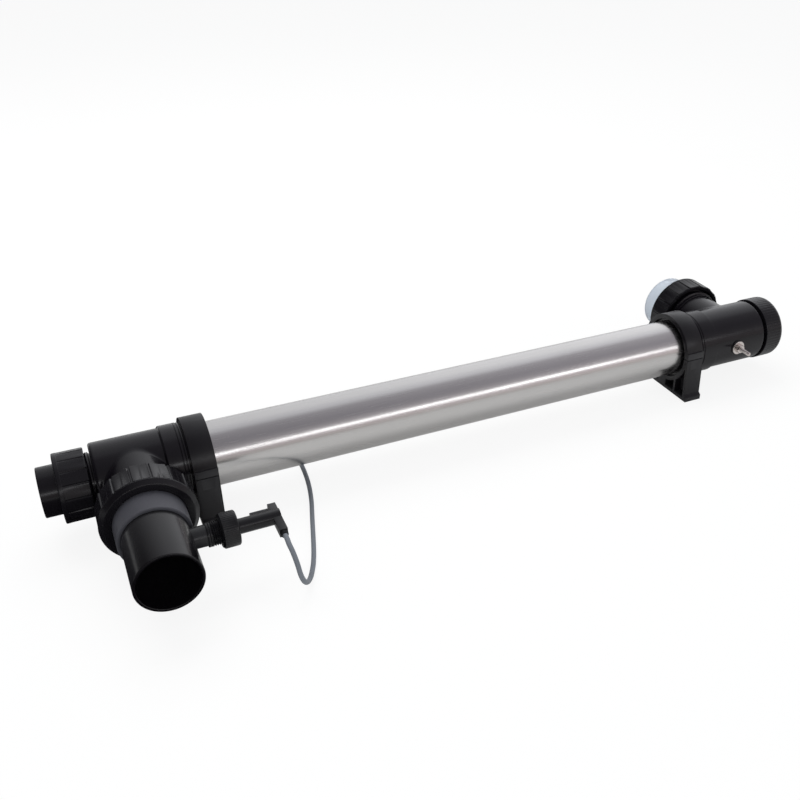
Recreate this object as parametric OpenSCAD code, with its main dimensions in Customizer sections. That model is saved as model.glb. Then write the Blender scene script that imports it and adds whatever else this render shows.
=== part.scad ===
// In-line ultraviolet pond clarifier: a steel reactor tube between two plastic tees,
// held in two clip-over pipe clamps, with a flow switch in the inlet pipe.
// Frame: +X runs along the tube from the inlet end to the lamp end, +Z is up, and the origin lies
// on the base plane, midway between the two clamp screws.

/* [Reactor tube] */
// Distance between the middles of the two clamps
clamp_pitch = 617.4; // [450:0.1:900]
// Outside diameter of the steel tube
tube_d = 70; // [60:0.5:84]
// Wall of the steel tube
tube_wall = 1.5; // [1:0.1:2]
// How far the tube reaches into each tee
tube_insert = 26; // [18:1:34]

/* [Tees] */
// Wall of the tee's socket round the tube
socket_wall = 3.05; // [2.5:0.05:4.5]
// Height of the tee's collar over its body
collar_rise = 2; // [1:0.1:3]
// Inlet tee: from the clamp's middle to the branch's axis
inlet_branch_reach = 64.1; // [60:0.1:80]
// Inlet tee: from the clamp's middle to the flat outer end
inlet_end_reach = 103; // [100:0.1:125]
// Inlet tee: width of the collar beside the clamp
inlet_collar_w = 21.8; // [12:0.1:24]
// Outlet tee: from the clamp's middle to the branch's axis
outlet_branch_reach = 74.3; // [66:0.1:90]
// Outlet tee: from the clamp's middle to the groove before the cap
outlet_end_reach = 119.9; // [116:0.1:145]
// Outlet tee: width of the collar beside the clamp
outlet_collar_w = 28; // [12:0.1:30]

/* [Clamps] */
// Width of a clamp along the tube
clamp_w = 24; // [20:0.5:30]
// Thickness of the clamp's ring
clamp_wall = 6.4; // [5:0.1:8]
// Height of the ring's lowest point over the base plane
foot_h = 11.25; // [9:0.05:30]
// Half the length of the clamp's foot, across the tube
foot_half = 51.5; // [50:0.5:62]
// Diameter of the screw hole under the tube
screw_d = 6.5; // [4:0.1:7]

/* [Unions] */
// Outside diameter of the pond pipe that the unions take
pipe_d = 63; // [50:0.5:75.6]
// Wall of the inlet pipe
pipe_wall = 3; // [2:0.1:4]
// From the tube's axis to the mouth of the inlet pipe
pipe_reach = 188; // [160:1:240]
// Wall of the inlet tailpiece over the pipe
tail_wall = 3.3; // [2.5:0.1:4]
// From the tube's axis to the end of the inlet tailpiece
tail_reach = 120.7; // [112:0.1:124]
// From the tube's axis to the end of the clear outlet tailpiece
clear_reach = 119; // [112:0.5:150]
// Wall of the clear outlet tailpiece
clear_wall = 4.4; // [3:0.1:5]
// Gap from the tee's body to the union nut's back face
union_gap = 24.4; // [22:0.1:40]
// Length of a union nut
union_nut_l = 30; // [26:0.5:36]
// Wall of a union nut outside its thread
union_nut_wall = 5.4; // [4.6:0.1:7]

/* [Inlet end] */
// Outside diameter of the blanking plug's stub
stub_d = 51.6; // [40:0.2:52]
// Length of the stub that shows past the ring nut
stub_show = 16.8; // [8:0.1:40]
// Length of the ring nut
end_nut_l = 29.8; // [24:0.1:36]
// Outside radius of the ring nut
end_nut_or = 36.1; // [35.6:0.1:40]
// Gap between the tee and the ring nut
end_gap = 5.1; // [3:0.1:8]

/* [Lamp end] */
// Length of the end cap
cap_l = 29.1; // [26:0.1:40]
// Outside radius of the end cap
cap_or = 40; // [39.8:0.1:46]
// Width of the groove between tee and cap
cap_gap = 2.8; // [1.5:0.1:5]
// Outside diameter of the quartz sleeve
quartz_d = 25; // [22:0.5:28]
// Wall of the quartz sleeve
quartz_wall = 1.5; // [1:0.1:2]
// Diameter of the lamp's glass tube
lamp_d = 16; // [14:0.5:16.5]
// Diameter of the earth stud
stud_d = 6; // [4:0.5:8]

/* [Flow switch] */
// From the tube's axis to the switch's axis, along the inlet pipe
switch_reach = 135; // [132:0.5:150]
// Bore of the nipple
nipple_bore_d = 15.7; // [15:0.1:18]
// Outside diameter of the nipple's neck
nipple_d = 20.5; // [20:0.1:22]
// Length of the nipple's plain neck
nipple_neck_l = 14; // [8:0.5:20]
// Length of the nipple's thread
nipple_thread_l = 16; // [10:0.5:20]
// Outside diameter of the knurled nut
switch_nut_d = 34.4; // [32:0.2:40]
// Length of the knurled nut
switch_nut_l = 17; // [14:0.5:20]
// Outside diameter of the switch's body
switch_body_d = 15; // [14:0.1:16]
// Length of the switch's body, from its flange to the cross arm
switch_body_l = 36.5; // [30:0.5:50]
// Length of the paddle's blade
blade_l = 22; // [12:1:24]
// Outside diameter of the signal cable
cable_d = 5; // [4:0.1:5.2]

/* [Hidden] */
$fn = 72;

// Clearances
fit = 0.15;           // between pieces of one body that slide together
run_gap = 0.3;        // between pieces of different bodies
face_gap = 0.1;       // between flat faces of different bodies
pin_fit = 0.05;       // round a hinge pin
over = 1;             // how far a cutter runs past a face

// Tube and tees
tube_r = tube_d / 2;
socket_or = tube_r + fit + socket_wall;
run_or = socket_or + 0.4;
collar_or = run_or + collar_rise;
run_bore = tube_r - 2;
socket_mouth = clamp_w / 2 - 4;
tube_end_t = tube_insert - socket_mouth;
socket_depth = tube_insert + 2;
edge_r = 3;
collar_start = clamp_w / 2 + 1.3;
seal_wire = 3;

// Clamps
clamp_ir = socket_or + fit;
clamp_or = clamp_ir + clamp_wall;
axis_h = clamp_or + foot_h;
clamp_x = clamp_pitch / 2;
split_z = axis_h + 1.5;
split_gap = 0.6;
bow_pin_d = 3.2;
bow_pivot_y = clamp_or + 3.4;
knuckle_r = 4.4;
knuckle_w = 9;
latch_w = 12;
web_t = 5;
base_t = 4.5;

// Unions: u is the distance from the tube's axis along the branch
pipe_r = pipe_d / 2;
pipe_bore = pipe_r - pipe_wall;
tail_or = pipe_r + tail_wall;
clear_or = pipe_r + clear_wall;
flange_or = max(tail_or, clear_or) + 4.2;
flange_t = 4.5;
union_thread_or = flange_or + 1.2;
union_nut_ir = union_thread_or + run_gap;
union_nut_or = union_nut_ir + union_nut_wall;
union_pitch = 4;
nut_lip = 4;
union_u0 = run_or + union_gap;
union_u1 = union_u0 + union_nut_l;
flange_u1 = union_u1 - nut_lip - face_gap;
flange_u0 = flange_u1 - flange_t;
branch_u1 = flange_u0 - face_gap;
neck_or = union_thread_or - 4;
pipe_u0 = flange_u0 + 6;
pipe_mark = 37;
outlet_bore_u0 = clear_reach - 27;

inlet_x = -(clamp_x + inlet_branch_reach);
outlet_x = clamp_x + outlet_branch_reach;

// Inlet end: t is the distance from the clamp's middle, away from the tube
stub_r = stub_d / 2;
plug_flange_or = stub_r + 3;
plug_thread_or = plug_flange_or + 1.4;
end_bore = stub_r - 1;
ring_t0 = inlet_end_reach + end_gap;
ring_t1 = ring_t0 + end_nut_l;
plug_flange_t1 = ring_t1 - nut_lip - face_gap;
plug_flange_t0 = plug_flange_t1 - 4;
inlet_neck_t1 = plug_flange_t0 - face_gap;
end_pitch = 3;

// Lamp end
cap_t0 = outlet_end_reach + cap_gap;
cap_t1 = cap_t0 + cap_l;
cap_wall = 4;
cap_thread_or = cap_or - 4.4;
cap_bore = cap_thread_or + run_gap;
cap_floor = cap_t1 - cap_wall;
outlet_neck_t1 = cap_floor - 3.2;
cap_pitch = 3;
bush_or = cap_thread_or - 5.6;
quartz_r = quartz_d / 2;
bush_t0 = outlet_neck_t1 - 38;
bush_t1 = outlet_neck_t1 - 16;
gland_seat = bush_t1 - 6;
gland_nut_r = quartz_r + 8;
quartz_t1 = bush_t1 + 3;
dome_t0 = inlet_end_reach + 6;
guide_t0 = inlet_end_reach + 1;
guide_w = 10;
holder_t0 = bush_t1 + 6;
holder_t1 = cap_floor - face_gap;
holder_r = 13.5;
lamp_r = lamp_d / 2;
lamp_base_t0 = bush_t1 - 8;
lamp_far_t = inlet_end_reach - 10;
lamp_cap_l = 12;
lamp_end_r = lamp_r + 1.9;
wire_r = 0.6;
gland_bore = 4;
earth_u1 = run_or + 23.6;
boss_r = 10;
strip_y = run_bore - 0.3;
strip_t = 0.7;
stud_end_r = stud_d / 2 - 0.5;
boss_u = run_or + 0.8;
washer_t = 1.6;
washer_r = 9;
earth_nut_af = 10;
earth_nut_t = 5;
nut_face_u = boss_u + washer_t + earth_nut_t;

// Flow switch: s is the distance from the pipe's axis, along +X
nipple_s0 = pipe_r - 2.4;
nipple_r = nipple_d / 2;
nipple_bore = nipple_bore_d / 2;
nipple_thread_or = nipple_r + 2;
thread_s0 = pipe_r + nipple_neck_l;
thread_s1 = thread_s0 + nipple_thread_l;
gasket_t = 1;
switch_flange_s0 = thread_s1 + gasket_t + face_gap;
switch_flange_s1 = switch_flange_s0 + 7;
switch_nut_s1 = switch_flange_s1 + 3 + face_gap;
switch_nut_s0 = switch_nut_s1 - switch_nut_l;
body_r = switch_body_d / 2;
arm_s0 = switch_flange_s1 + switch_body_l;
arm_w = 8;
arm_h = 9;
arm_reach = 27;
tab_reach = 17;
fin_l = 19;
stem_r = 4;
stem_s0 = switch_flange_s0 - 18;
paddle_pin_s = stem_s0 + 3;
paddle_pin_d = 1.6;
shaft_l = 41;
blade_s1 = stem_s0 - shaft_l;
blade_s0 = blade_s1 - blade_l;
blade_w = 10;
blade_t = 2;
cheek_gap = 4;
head_w = cheek_gap - 2 * run_gap;
shaft_r = head_w / 2;
switch_y = -switch_reach;
arm_mid = inlet_x + arm_s0 + arm_w / 2;
grommet_l = 4;
cable_y0 = switch_y - arm_reach - grommet_l;

// Signal cable: middle line from the cross arm down to the surface and under the tube
cable_r = cable_d / 2;
coil_mid = 27.5;
coil_lift = 1.2;
coil_half = cable_d;
coil_h = 4 * cable_d;
plug_size = [24, 11, 8];
plug_y = -13.5;
cable_route = [
    [0, 0, 0], [0, -6, 0], [0, -12, -2], [1, -18, -6], [2, -23, -12], [3, -26, -19], [4, -27.5, -27],
    [6, -27, -35], [9, -24, -42], [13, -18, -47.5], [18, -9, -51], [23, 2, -53], [28, 14, -53.3],
    [34, 32, -53.3], [41, 56, -53.3], [49, 84, -53.3], [57, 112, -53.3], [63, 140, -53.3],
    [66.5, 168, -53.3], [67.8, 196, -53.3], [68, 210, -53.3], [68, 225, -53.3]
];
coil_x = arm_mid + 68 + coil_mid + cable_r;
coil_y = cable_y0 + 225 + sqrt(pow(coil_mid + coil_half, 2) - pow(coil_mid + cable_r, 2));
cable_sides = 10;
cable_steps = 3;

// ---------------------------------------------------------------- shared shapes

// Points of an arc about (cx, cy)
function arc(cx, cy, r, a0, a1, n = 6) =
    [for (i = [0 : n]) [cx + r * cos(a0 + (a1 - a0) * i / n), cy + r * sin(a0 + (a1 - a0) * i / n)]];

// Outline of a round-topped thread: crests at r, roots 1.2 lower, from t0 upwards
function crests(r, t0, pitch, n) =
    [for (i = [0 : n - 1], c = [[-1.2, 0], [0, 0.3], [0, 0.6],
        [-1.2, 0.9]]) [r + c[0], t0 + (i + c[1]) * pitch]];

// Hollow cylinder on +Z
module ring(r_out, r_in, t0, t1) {
    translate([0, 0, t0]) difference() {
        cylinder(r = r_out, h = t1 - t0);
        translate([0, 0, -over]) cylinder(r = r_in, h = t1 - t0 + 2 * over);
    }
}

// Solid of revolution about +Z from an outline of [radius, height] points
module turned(points) {
    rotate_extrude() polygon(points);
}

// O-ring lying in the plane z = t
module o_ring(r_mid, wire, t) {
    translate([0, 0, t]) rotate_extrude() translate([r_mid, 0]) circle(r = wire / 2, $fn = 24);
}

// Frame at a clamp's middle on the tube's axis, with +Z pointing outwards: side -1 is the inlet end
module end_frame(side) {
    translate([side * clamp_x, 0, axis_h]) rotate([0, side * 90, 0]) children();
}

// Frame on a branch, with +Z pointing out of it: the inlet branch faces -Y, the outlet branch +Y
module branch_frame(side) {
    translate([side < 0 ? inlet_x : outlet_x, 0, axis_h]) rotate([side < 0 ? 90 : -90, 0, 0]) children();
}

// Frame on the switch's axis, with +Z pointing away from the inlet pipe
module switch_frame() {
    translate([inlet_x, switch_y, axis_h]) rotate([0, 90, 0]) children();
}

// Extrudes a YZ outline along X, centred on x
module slice_x(x, w) {
    translate([x - w / 2, 0, 0]) rotate([90, 0, 90]) linear_extrude(w) children();
}

// Grip grooves cut into a ring nut, leaving wide flat panels between them
module grip_grooves(r, t0, t1, count, w, depth) {
    for (i = [0 : count - 1])
        rotate([0, 0, (i + 0.5) * 360 / count])
            translate([r - depth, -w / 2, t0]) cube([depth + over, w, t1 - t0]);
}

// ---------------------------------------------------------------- reactor tube and tees

module reactor_tube() {
    half = clamp_x + tube_end_t;
    color("silver") translate([0, 0, axis_h]) rotate([0, 90, 0])
        ring(tube_r, tube_r - tube_wall, -half, half);
}

// Tee body: a run with a collar and a soft outer edge, and one branch with a union thread
module tee(side, branch_reach, end_reach, collar_w) {
    collar_end = collar_start + collar_w;
    run_outline = concat(
        [[0, -socket_mouth], [socket_or, -socket_mouth], [socket_or, collar_start]],
        [[collar_or - 1.2, collar_start], [collar_or - 1.2, collar_start + 1.6],
            [collar_or, collar_start + 1.6]],
        [[collar_or, collar_start + 4], [collar_or - 1, collar_start + 4],
            [collar_or - 1, collar_start + 5]],
        [[collar_or, collar_start + 5], [collar_or, collar_end - 1.5], [run_or, collar_end]],
        arc(run_or - edge_r, end_reach - edge_r, edge_r, 0, 90),
        [[0, end_reach]]);
    end_frame(side) difference() {
        union() {
            turned(run_outline);
            if (side < 0) turned(concat([[0, end_reach - over], [plug_thread_or - 1.2, end_reach - over]],
                crests(plug_thread_or, end_reach + 1,
                end_pitch, 8),
                [[plug_thread_or - 1.2, inlet_neck_t1], [0, inlet_neck_t1]]));
            else turned(concat([[0, end_reach - over], [cap_thread_or - 1.2, end_reach - over]],
                crests(cap_thread_or, end_reach + 3.5, cap_pitch, 5),
                [[cap_thread_or - 1.2, outlet_neck_t1], [0, outlet_neck_t1]]));
            translate([0, 0, branch_reach]) rotate([side < 0 ? 90 : -90, 0, 0]) {
                cylinder(r = min(run_or - 0.6, end_reach - branch_reach), h = union_u0 - 6);
                turned(concat([[0, union_u0 - 6], [neck_or, union_u0 - 6]],
                    crests(union_thread_or, union_u0 + 5, union_pitch, 4),
                    [[union_thread_or - 1.2, branch_u1], [0, branch_u1]]));
            }
            if (side > 0) translate([0, 0, branch_reach]) rotate([90, 0, 0])
                cylinder(r = boss_r, h = boss_u);
        }
        translate([0, 0, -socket_mouth - over]) cylinder(r = tube_r + fit, h = socket_depth + over);
        translate([0, 0, -over]) cylinder(r = run_bore, h = end_reach - 4 + over);
        o_ring(tube_r + fit, seal_wire, seal_t());
        if (side < 0) cylinder(r = end_bore, h = inlet_neck_t1 + over);
        else cylinder(r = bush_or + fit, h = outlet_neck_t1 + over);
        translate([0, 0, branch_reach]) rotate([side < 0 ? 90 : -90, 0, 0]) {
            cylinder(r = pipe_bore, h = branch_u1 + over);
            translate([0, 0, branch_u1]) o_ring(face_seal_r(), seal_wire, 0);
        }
        if (side > 0) translate([0, 0, branch_reach]) rotate([90, 0, 0])
            cylinder(r = stud_d / 2 + fit, h = boss_u + over);
    }
}

// Where a tube seal sits in its tee, and the middle radius of a union's face seal
function seal_t() = 4;
function face_seal_r() = (pipe_bore + flange_or) / 2;

module inlet_tee() {
    color("#1c1c1f") tee(-1, inlet_branch_reach, inlet_end_reach, inlet_collar_w);
}

module outlet_tee() {
    color("#1c1c1f") tee(1, outlet_branch_reach, outlet_end_reach, outlet_collar_w);
}

// Rubber ring that seals the tube in its tee
module tube_seal(side) {
    color("#2a2a2a") end_frame(side) difference() {
        o_ring(tube_r + fit, seal_wire - 0.2, seal_t());
        cylinder(r = tube_r + 0.05, h = 2 * seal_t());
    }
}

module inlet_tube_seal() {
    tube_seal(-1);
}

module outlet_tube_seal() {
    tube_seal(1);
}

// ---------------------------------------------------------------- clamps

// Lower half of a clamp: half ring, hollow webbed foot and rear hinge ears
module saddle(x) {
    ear_w = (clamp_w - knuckle_w) / 2 - run_gap;
    color("#1a1a1d") difference() {
        union() {
            slice_x(x, clamp_w) difference() {
                saddle_outline();
                saddle_pockets();
            }
            slice_x(x, web_t) saddle_outline();
            translate([x, 0, 0]) cylinder(d = screw_d + 9, h = foot_h + clamp_wall);
            for (s = [-1, 1]) translate([x + s * (clamp_w - ear_w) / 2, bow_pivot_y, axis_h])
                rotate([0, 90, 0])
                cylinder(r = knuckle_r - run_gap, h = ear_w, center = true);
        }
        translate([x, 0, axis_h]) rotate([0, 90, 0])
            cylinder(r = clamp_ir, h = clamp_w + 2 * over, center = true);
        translate([x, bow_pivot_y, axis_h]) rotate([0, 90, 0])
            cylinder(d = bow_pin_d, h = clamp_w + 2 * over, center = true);
        translate([x, bow_pivot_y, axis_h]) rotate([0, 90, 0])
            cylinder(r = knuckle_r, h = knuckle_w + 2 * run_gap, center = true);
        translate([x, 0, -over]) cylinder(d = screw_d, h = foot_h + clamp_wall + 2 * over);
        translate([x - latch_w / 2 - run_gap, -clamp_or - 2 * over, axis_h - 12])
            cube([latch_w + 2 * run_gap, clamp_wall + over - 3, 20]);
    }
}

// Side view of the saddle, filled in
module saddle_outline() {
    front = clamp_or + 1.2;
    difference() {
        polygon(concat(
            [[-foot_half, 0], [foot_half, 0], [foot_half, 6], [front + 2, 9],
                [front + 1.4, axis_h - knuckle_r]],
            [[clamp_ir + 1, split_z - split_gap], [-front, split_z - split_gap], [-front - 2, 9],
                [-foot_half, 6]]));
        translate([0, axis_h]) circle(r = clamp_ir);
    }
}

// Hollows on both sides of the foot's web, between the ring, the walls and the ribs
module saddle_pockets() {
    wall = 3.2;
    front = clamp_or + 1.2;
    difference() {
        polygon([[-front - 2 + wall, base_t], [front + 2 - wall, base_t], [front - wall, axis_h - 12],
            [-front + wall, axis_h - 12]]);
        translate([0, axis_h]) circle(r = clamp_or - 1);
        for (s = [-1, 1]) translate([s * 26, 0]) square([wall, 2 * axis_h], center = true);
        square([screw_d + 9, 2 * axis_h], center = true);
    }
}

// Upper half of a clamp: it swings on a rear pin and snaps behind the front wall
module bow(x) {
    color("#1a1a1d") difference() {
        union() {
            slice_x(x, clamp_w) difference() {
                union() {
                    translate([0, axis_h]) circle(r = clamp_or);
                    translate([-clamp_or - 1.2, split_z]) square([8, 9]);
                }
                translate([0, axis_h]) circle(r = clamp_ir);
                translate([-2 * clamp_or, 0]) square([4 * clamp_or, split_z]);
            }
            translate([x, bow_pivot_y, axis_h]) rotate([0, 90, 0])
                cylinder(r = knuckle_r - run_gap, h = knuckle_w, center = true);
            translate([x - knuckle_w / 2, clamp_ir + 2, axis_h + 2 * run_gap])
                cube([knuckle_w, bow_pivot_y - clamp_ir - 2, knuckle_r - 3 * run_gap]);
            translate([x - latch_w / 2, -clamp_or - 0.6, split_z - 9]) cube([latch_w, 2.6, 12]);
        }
        for (s = [-1, 1]) translate([x + s * (clamp_w + knuckle_w) / 4, bow_pivot_y, axis_h])
            rotate([0, 90, 0])
            cylinder(r = knuckle_r, h = (clamp_w - knuckle_w) / 2 + over, center = true);
        translate([x, bow_pivot_y, axis_h]) rotate([0, 90, 0])
            cylinder(r = bow_pin_d / 2 + pin_fit, h = clamp_w, center = true);
    }
}

// Steel pin through a clamp's ears and knuckle
module bow_pin(x) {
    color("lightgray") translate([x, bow_pivot_y, axis_h]) rotate([0, 90, 0])
        cylinder(d = bow_pin_d, h = clamp_w, center = true);
}

module inlet_clamp_saddle() {
    saddle(-clamp_x);
}

module outlet_clamp_saddle() {
    saddle(clamp_x);
}

module inlet_clamp_bow() {
    bow(-clamp_x);
}

module outlet_clamp_bow() {
    bow(clamp_x);
}

module inlet_bow_pin() {
    bow_pin(-clamp_x);
}

module outlet_bow_pin() {
    bow_pin(clamp_x);
}

// ---------------------------------------------------------------- quartz sleeve and lamp

// Spider that centres the sleeve's closed end in the inlet tee
module sleeve_guide() {
    rim = 2;
    color("whitesmoke") end_frame(-1) {
        ring(end_bore - fit, end_bore - fit - rim, guide_t0, guide_t0 + guide_w);
        ring(quartz_r + fit + rim, quartz_r + fit, guide_t0, guide_t0 + guide_w);
        for (i = [0 : 2]) rotate([0, 0, i * 120])
            translate([quartz_r + fit + rim / 2, -rim / 2, guide_t0])
                cube([end_bore - quartz_r - 2 * fit - rim, rim, guide_w]);
    }
}

// Quartz tube, closed by a dome at the inlet end
module quartz_sleeve() {
    r = quartz_r;
    bore = quartz_r - quartz_wall;
    length = 2 * clamp_x + dome_t0 + quartz_t1;
    color("#d8e6f2", 0.35) translate([-clamp_x - dome_t0, 0, axis_h]) rotate([0, 90, 0])
        turned(concat([[r, length], [bore, length]], arc(0, 0, bore, 0, -90), arc(0, 0, r, -90, 0)));
}

// Plastic bush in the outlet tee's neck that carries the sleeve
module sleeve_bush() {
    color("#303033") end_frame(1) difference() {
        ring(bush_or, quartz_r + fit, bush_t0, bush_t1);
        translate([0, 0, gland_seat]) cylinder(r = gland_nut_r, h = bush_t1);
        translate([0, 0, gland_seat - seal_wire]) cylinder(r = quartz_r + seal_wire, h = seal_wire + over);
    }
}

// Rubber ring squeezed on the sleeve by the gland nut
module sleeve_seal() {
    color("#2a2a2a") end_frame(1)
        ring(quartz_r + seal_wire - 0.1, quartz_r + 0.05, gland_seat - seal_wire + 0.05, gland_seat - 0.05);
}

// Nut that squeezes the sleeve's seal
module sleeve_gland_nut() {
    color("#303033") end_frame(1) difference() {
        ring(gland_nut_r - fit, quartz_r + fit, gland_seat + 0.05, bush_t1 + 2.5);
        for (i = [0 : 3]) rotate([0, 0, i * 90]) translate([gland_nut_r - 4, -2, bush_t1])
            cube([8, 4, 4]);
    }
}

// Low-pressure lamp: the glass tube between its two ends
module lamp_tube() {
    x0 = -clamp_x - lamp_far_t + lamp_cap_l;
    x1 = clamp_x + lamp_base_t0;
    color("#eef3fb") translate([x0, 0, axis_h]) rotate([0, 90, 0]) ring(lamp_r, lamp_r - 1, 0, x1 - x0);
}

// Ceramic ends of the lamp: a short blind cap and the four-pin base
module lamp_ends() {
    far = -clamp_x - lamp_far_t;
    base = clamp_x + lamp_base_t0;
    color("ivory") translate([0, 0, axis_h]) rotate([0, 90, 0]) difference() {
        union() {
            translate([0, 0, far]) cylinder(r = lamp_end_r, h = lamp_cap_l);
            translate([0, 0, base]) cylinder(r = lamp_end_r, h = lamp_cap_l);
        }
        translate([-lamp_r - 0.6, 0, far + lamp_cap_l - 3]) cylinder(r = wire_r, h = 4);
        translate([-lamp_r - 0.6, 0, base - over]) cylinder(r = wire_r, h = 4);
    }
}

// Wire that brings the far filament's current back outside the glass
module lamp_return_wire() {
    x0 = -clamp_x - lamp_far_t + lamp_cap_l - 3;
    x1 = clamp_x + lamp_base_t0 + 3;
    color("goldenrod") translate([x0, 0, axis_h + lamp_r + 0.6]) rotate([0, 90, 0])
        cylinder(r = wire_r - 0.05, h = x1 - x0);
}

// Four contact pins between the lamp's base and its holder
module lamp_pins() {
    color("goldenrod") end_frame(1) for (i = [0 : 3]) rotate([0, 0, 45 + i * 90])
        translate([4.5, 0, lamp_base_t0 + lamp_cap_l]) cylinder(r = 1, h = 6, $fn = 24);
}

// Round lamp holder that sits in the cap
module lamp_holder() {
    face = lamp_base_t0 + lamp_cap_l + 0.1;
    color("ivory") end_frame(1) difference() {
        union() {
            translate([0, 0, face]) cylinder(r = lamp_end_r, h = holder_t0 - face);
            translate([0, 0, holder_t0]) cylinder(r = holder_r, h = holder_t1 - holder_t0);
            translate([0, 0, holder_t1 - 2.5]) cylinder(r = bush_or - 2, h = 2.5);
        }
        for (i = [0 : 3]) rotate([0, 0, 45 + i * 90])
            translate([4.5, 0, face - over]) cylinder(r = 1.05, h = 6 + over, $fn = 24);
        translate([0, 0, holder_t1 - 12]) cylinder(r = gland_bore, h = 12 + over);
    }
}

// Ribbed screw cap over the lamp's base
module end_cap() {
    color("#1c1c1f") end_frame(1) difference() {
        turned(concat([[0, cap_t0], [cap_or - 0.6, cap_t0], [cap_or, cap_t0 + 0.6]],
            arc(cap_or - 5, cap_t1 - 5, 5, 0, 90), [[0, cap_t1]]));
        translate([0, 0, cap_t0 - over]) cylinder(r = cap_bore, h = cap_floor - cap_t0 + over);
        cylinder(r = gland_bore + 2, h = cap_t1 + over);
        grip_grooves(cap_or, cap_t0 + 4, cap_t1 - 5.4, 36, 1.4, 0.6);
    }
}

// Flat rubber ring between the cap's floor and the tee's neck
module cap_seal() {
    color("#2a2a2a") end_frame(1) ring(cap_bore - 0.2, bush_or + 0.6, cap_floor - 3, cap_floor - 0.05);
}

// Lower part of the gland for the lamp's lead
module cable_gland_body() {
    hex_r = gland_bore + 5;
    color("#242427") end_frame(1) difference() {
        union() {
            translate([0, 0, cap_floor]) cylinder(r = gland_bore + 2 - 0.05, h = cap_wall);
            translate([0, 0, cap_t1]) cylinder(r = hex_r, h = 4, $fn = 6);
            translate([0, 0, cap_t1 + 4]) cylinder(r = gland_bore + 2, h = 6);
        }
        translate([0, 0, cap_floor - over]) cylinder(r = gland_bore, h = cap_wall + 10 + 2 * over);
    }
}

// Dome nut of the lead's gland
module cable_gland_nut() {
    r = gland_bore + 4;
    t0 = cap_t1 + 4.1;
    color("#242427") end_frame(1) difference() {
        turned(concat([[0, t0], [r, t0]], arc(r - 3, t0 + 8, 3, 0, 90), [[0, t0 + 11]]));
        translate([0, 0, t0 - over]) cylinder(r = gland_bore + 2 + fit, h = 7 + over);
        translate([0, 0, t0]) cylinder(r = gland_bore, h = 12 + over);
    }
}

// ---------------------------------------------------------------- earth bond

// Stud through the tee's wall, with its head on the inside
module earth_stud() {
    color("silver") translate([outlet_x, 0, axis_h]) rotate([90, 0, 0]) {
        translate([0, 0, strip_y - strip_t - 3]) cylinder(r = stud_d / 2 + 2.5, h = 3 - 0.02);
        turned([[0, strip_y - 3], [stud_d / 2, strip_y - 3], [stud_d / 2, nut_face_u + 0.6],
            [stud_end_r, nut_face_u + 0.6], [stud_end_r, earth_u1 - 0.9],
            [stud_end_r - 0.9, earth_u1], [0, earth_u1]]);
    }
}

// Wide washer on the tee's flat boss
module earth_washer() {
    color("silver") translate([outlet_x, 0, axis_h]) rotate([90, 0, 0])
        ring(washer_r, stud_d / 2 + fit, boss_u, boss_u + washer_t);
}

// Hexagon nut on the stud
module earth_nut() {
    color("silver") translate([outlet_x, 0, axis_h]) rotate([90, 0, 0]) difference() {
        translate([0, 0, boss_u + washer_t])
            cylinder(r = earth_nut_af / 2 / cos(30), h = earth_nut_t, $fn = 6);
        cylinder(r = stud_d / 2 + 0.05, h = earth_u1);
    }
}

// Spring strip inside the tee, from the stud's head to the end of the tube
module earth_strip() {
    strip_w = 8;
    tube_end = clamp_x + tube_end_t;
    color("silver") translate([0, 0, axis_h]) difference() {
        translate([tube_end - 8, -strip_y, -strip_w / 2])
            cube([outlet_x + strip_w - tube_end + 8, strip_t, strip_w]);
        translate([outlet_x, 0, 0]) rotate([90, 0, 0]) cylinder(r = stud_d / 2 + fit, h = run_or);
    }
}

// ---------------------------------------------------------------- inlet and outlet unions

// Pond pipe glued into the tailpiece, with a hole for the switch's nipple and a scribed insertion line
module inlet_pipe() {
    color("#202023") difference() {
        branch_frame(-1) turned([[pipe_bore, pipe_u0], [pipe_r, pipe_u0],
            [pipe_r, pipe_reach - pipe_mark - 0.8],
            [pipe_r - 0.2, pipe_reach - pipe_mark - 0.4], [pipe_r, pipe_reach - pipe_mark],
            [pipe_r, pipe_reach - 0.8], [pipe_r - 0.8, pipe_reach], [pipe_bore, pipe_reach]]);
        switch_frame() cylinder(r = nipple_r + 0.05, h = pipe_r + over);
    }
}

// Flanged sleeve that the union nut pulls against the tee
module inlet_tailpiece() {
    color("#4a4a4d") branch_frame(-1)
        turned(concat([[pipe_bore, flange_u0], [flange_or, flange_u0], [flange_or, flange_u1],
            [tail_or, flange_u1]],
            arc(tail_or - 1.5, tail_reach - 1.5, 1.5, 0, 90),
            [[pipe_r + 0.05, tail_reach], [pipe_r + 0.05, pipe_u0 - 0.05], [pipe_bore, pipe_u0 - 0.05]]));
}

// Ribbed union nut with a lip that catches the tailpiece's flange
module union_nut(side, lip_r) {
    color("#1c1c1f") branch_frame(side) difference() {
        turned(concat([[union_nut_ir, union_u0], [union_nut_or - 1, union_u0],
            [union_nut_or, union_u0 + 1]],
            arc(union_nut_or - 2, union_u1 - 2, 2, 0, 90),
            [[lip_r + run_gap, union_u1], [lip_r + run_gap, union_u1 - nut_lip],
                [union_nut_ir, union_u1 - nut_lip]]));
        grip_grooves(union_nut_or, union_u0 - over, union_u1 - 4.5, 16, 2.4, 1.4);
    }
}

module inlet_union_nut() {
    union_nut(-1, tail_or);
}

module outlet_union_nut() {
    union_nut(1, clear_or);
}

// Rubber ring in the tee's face, squeezed by the tailpiece
module face_seal(side) {
    color("#2a2a2a") branch_frame(side) difference() {
        o_ring(face_seal_r(), seal_wire - 0.4, branch_u1);
        translate([0, 0, branch_u1]) cylinder(r = flange_or, h = seal_wire);
    }
}

module inlet_union_seal() {
    face_seal(-1);
}

module outlet_union_seal() {
    face_seal(1);
}

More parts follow.
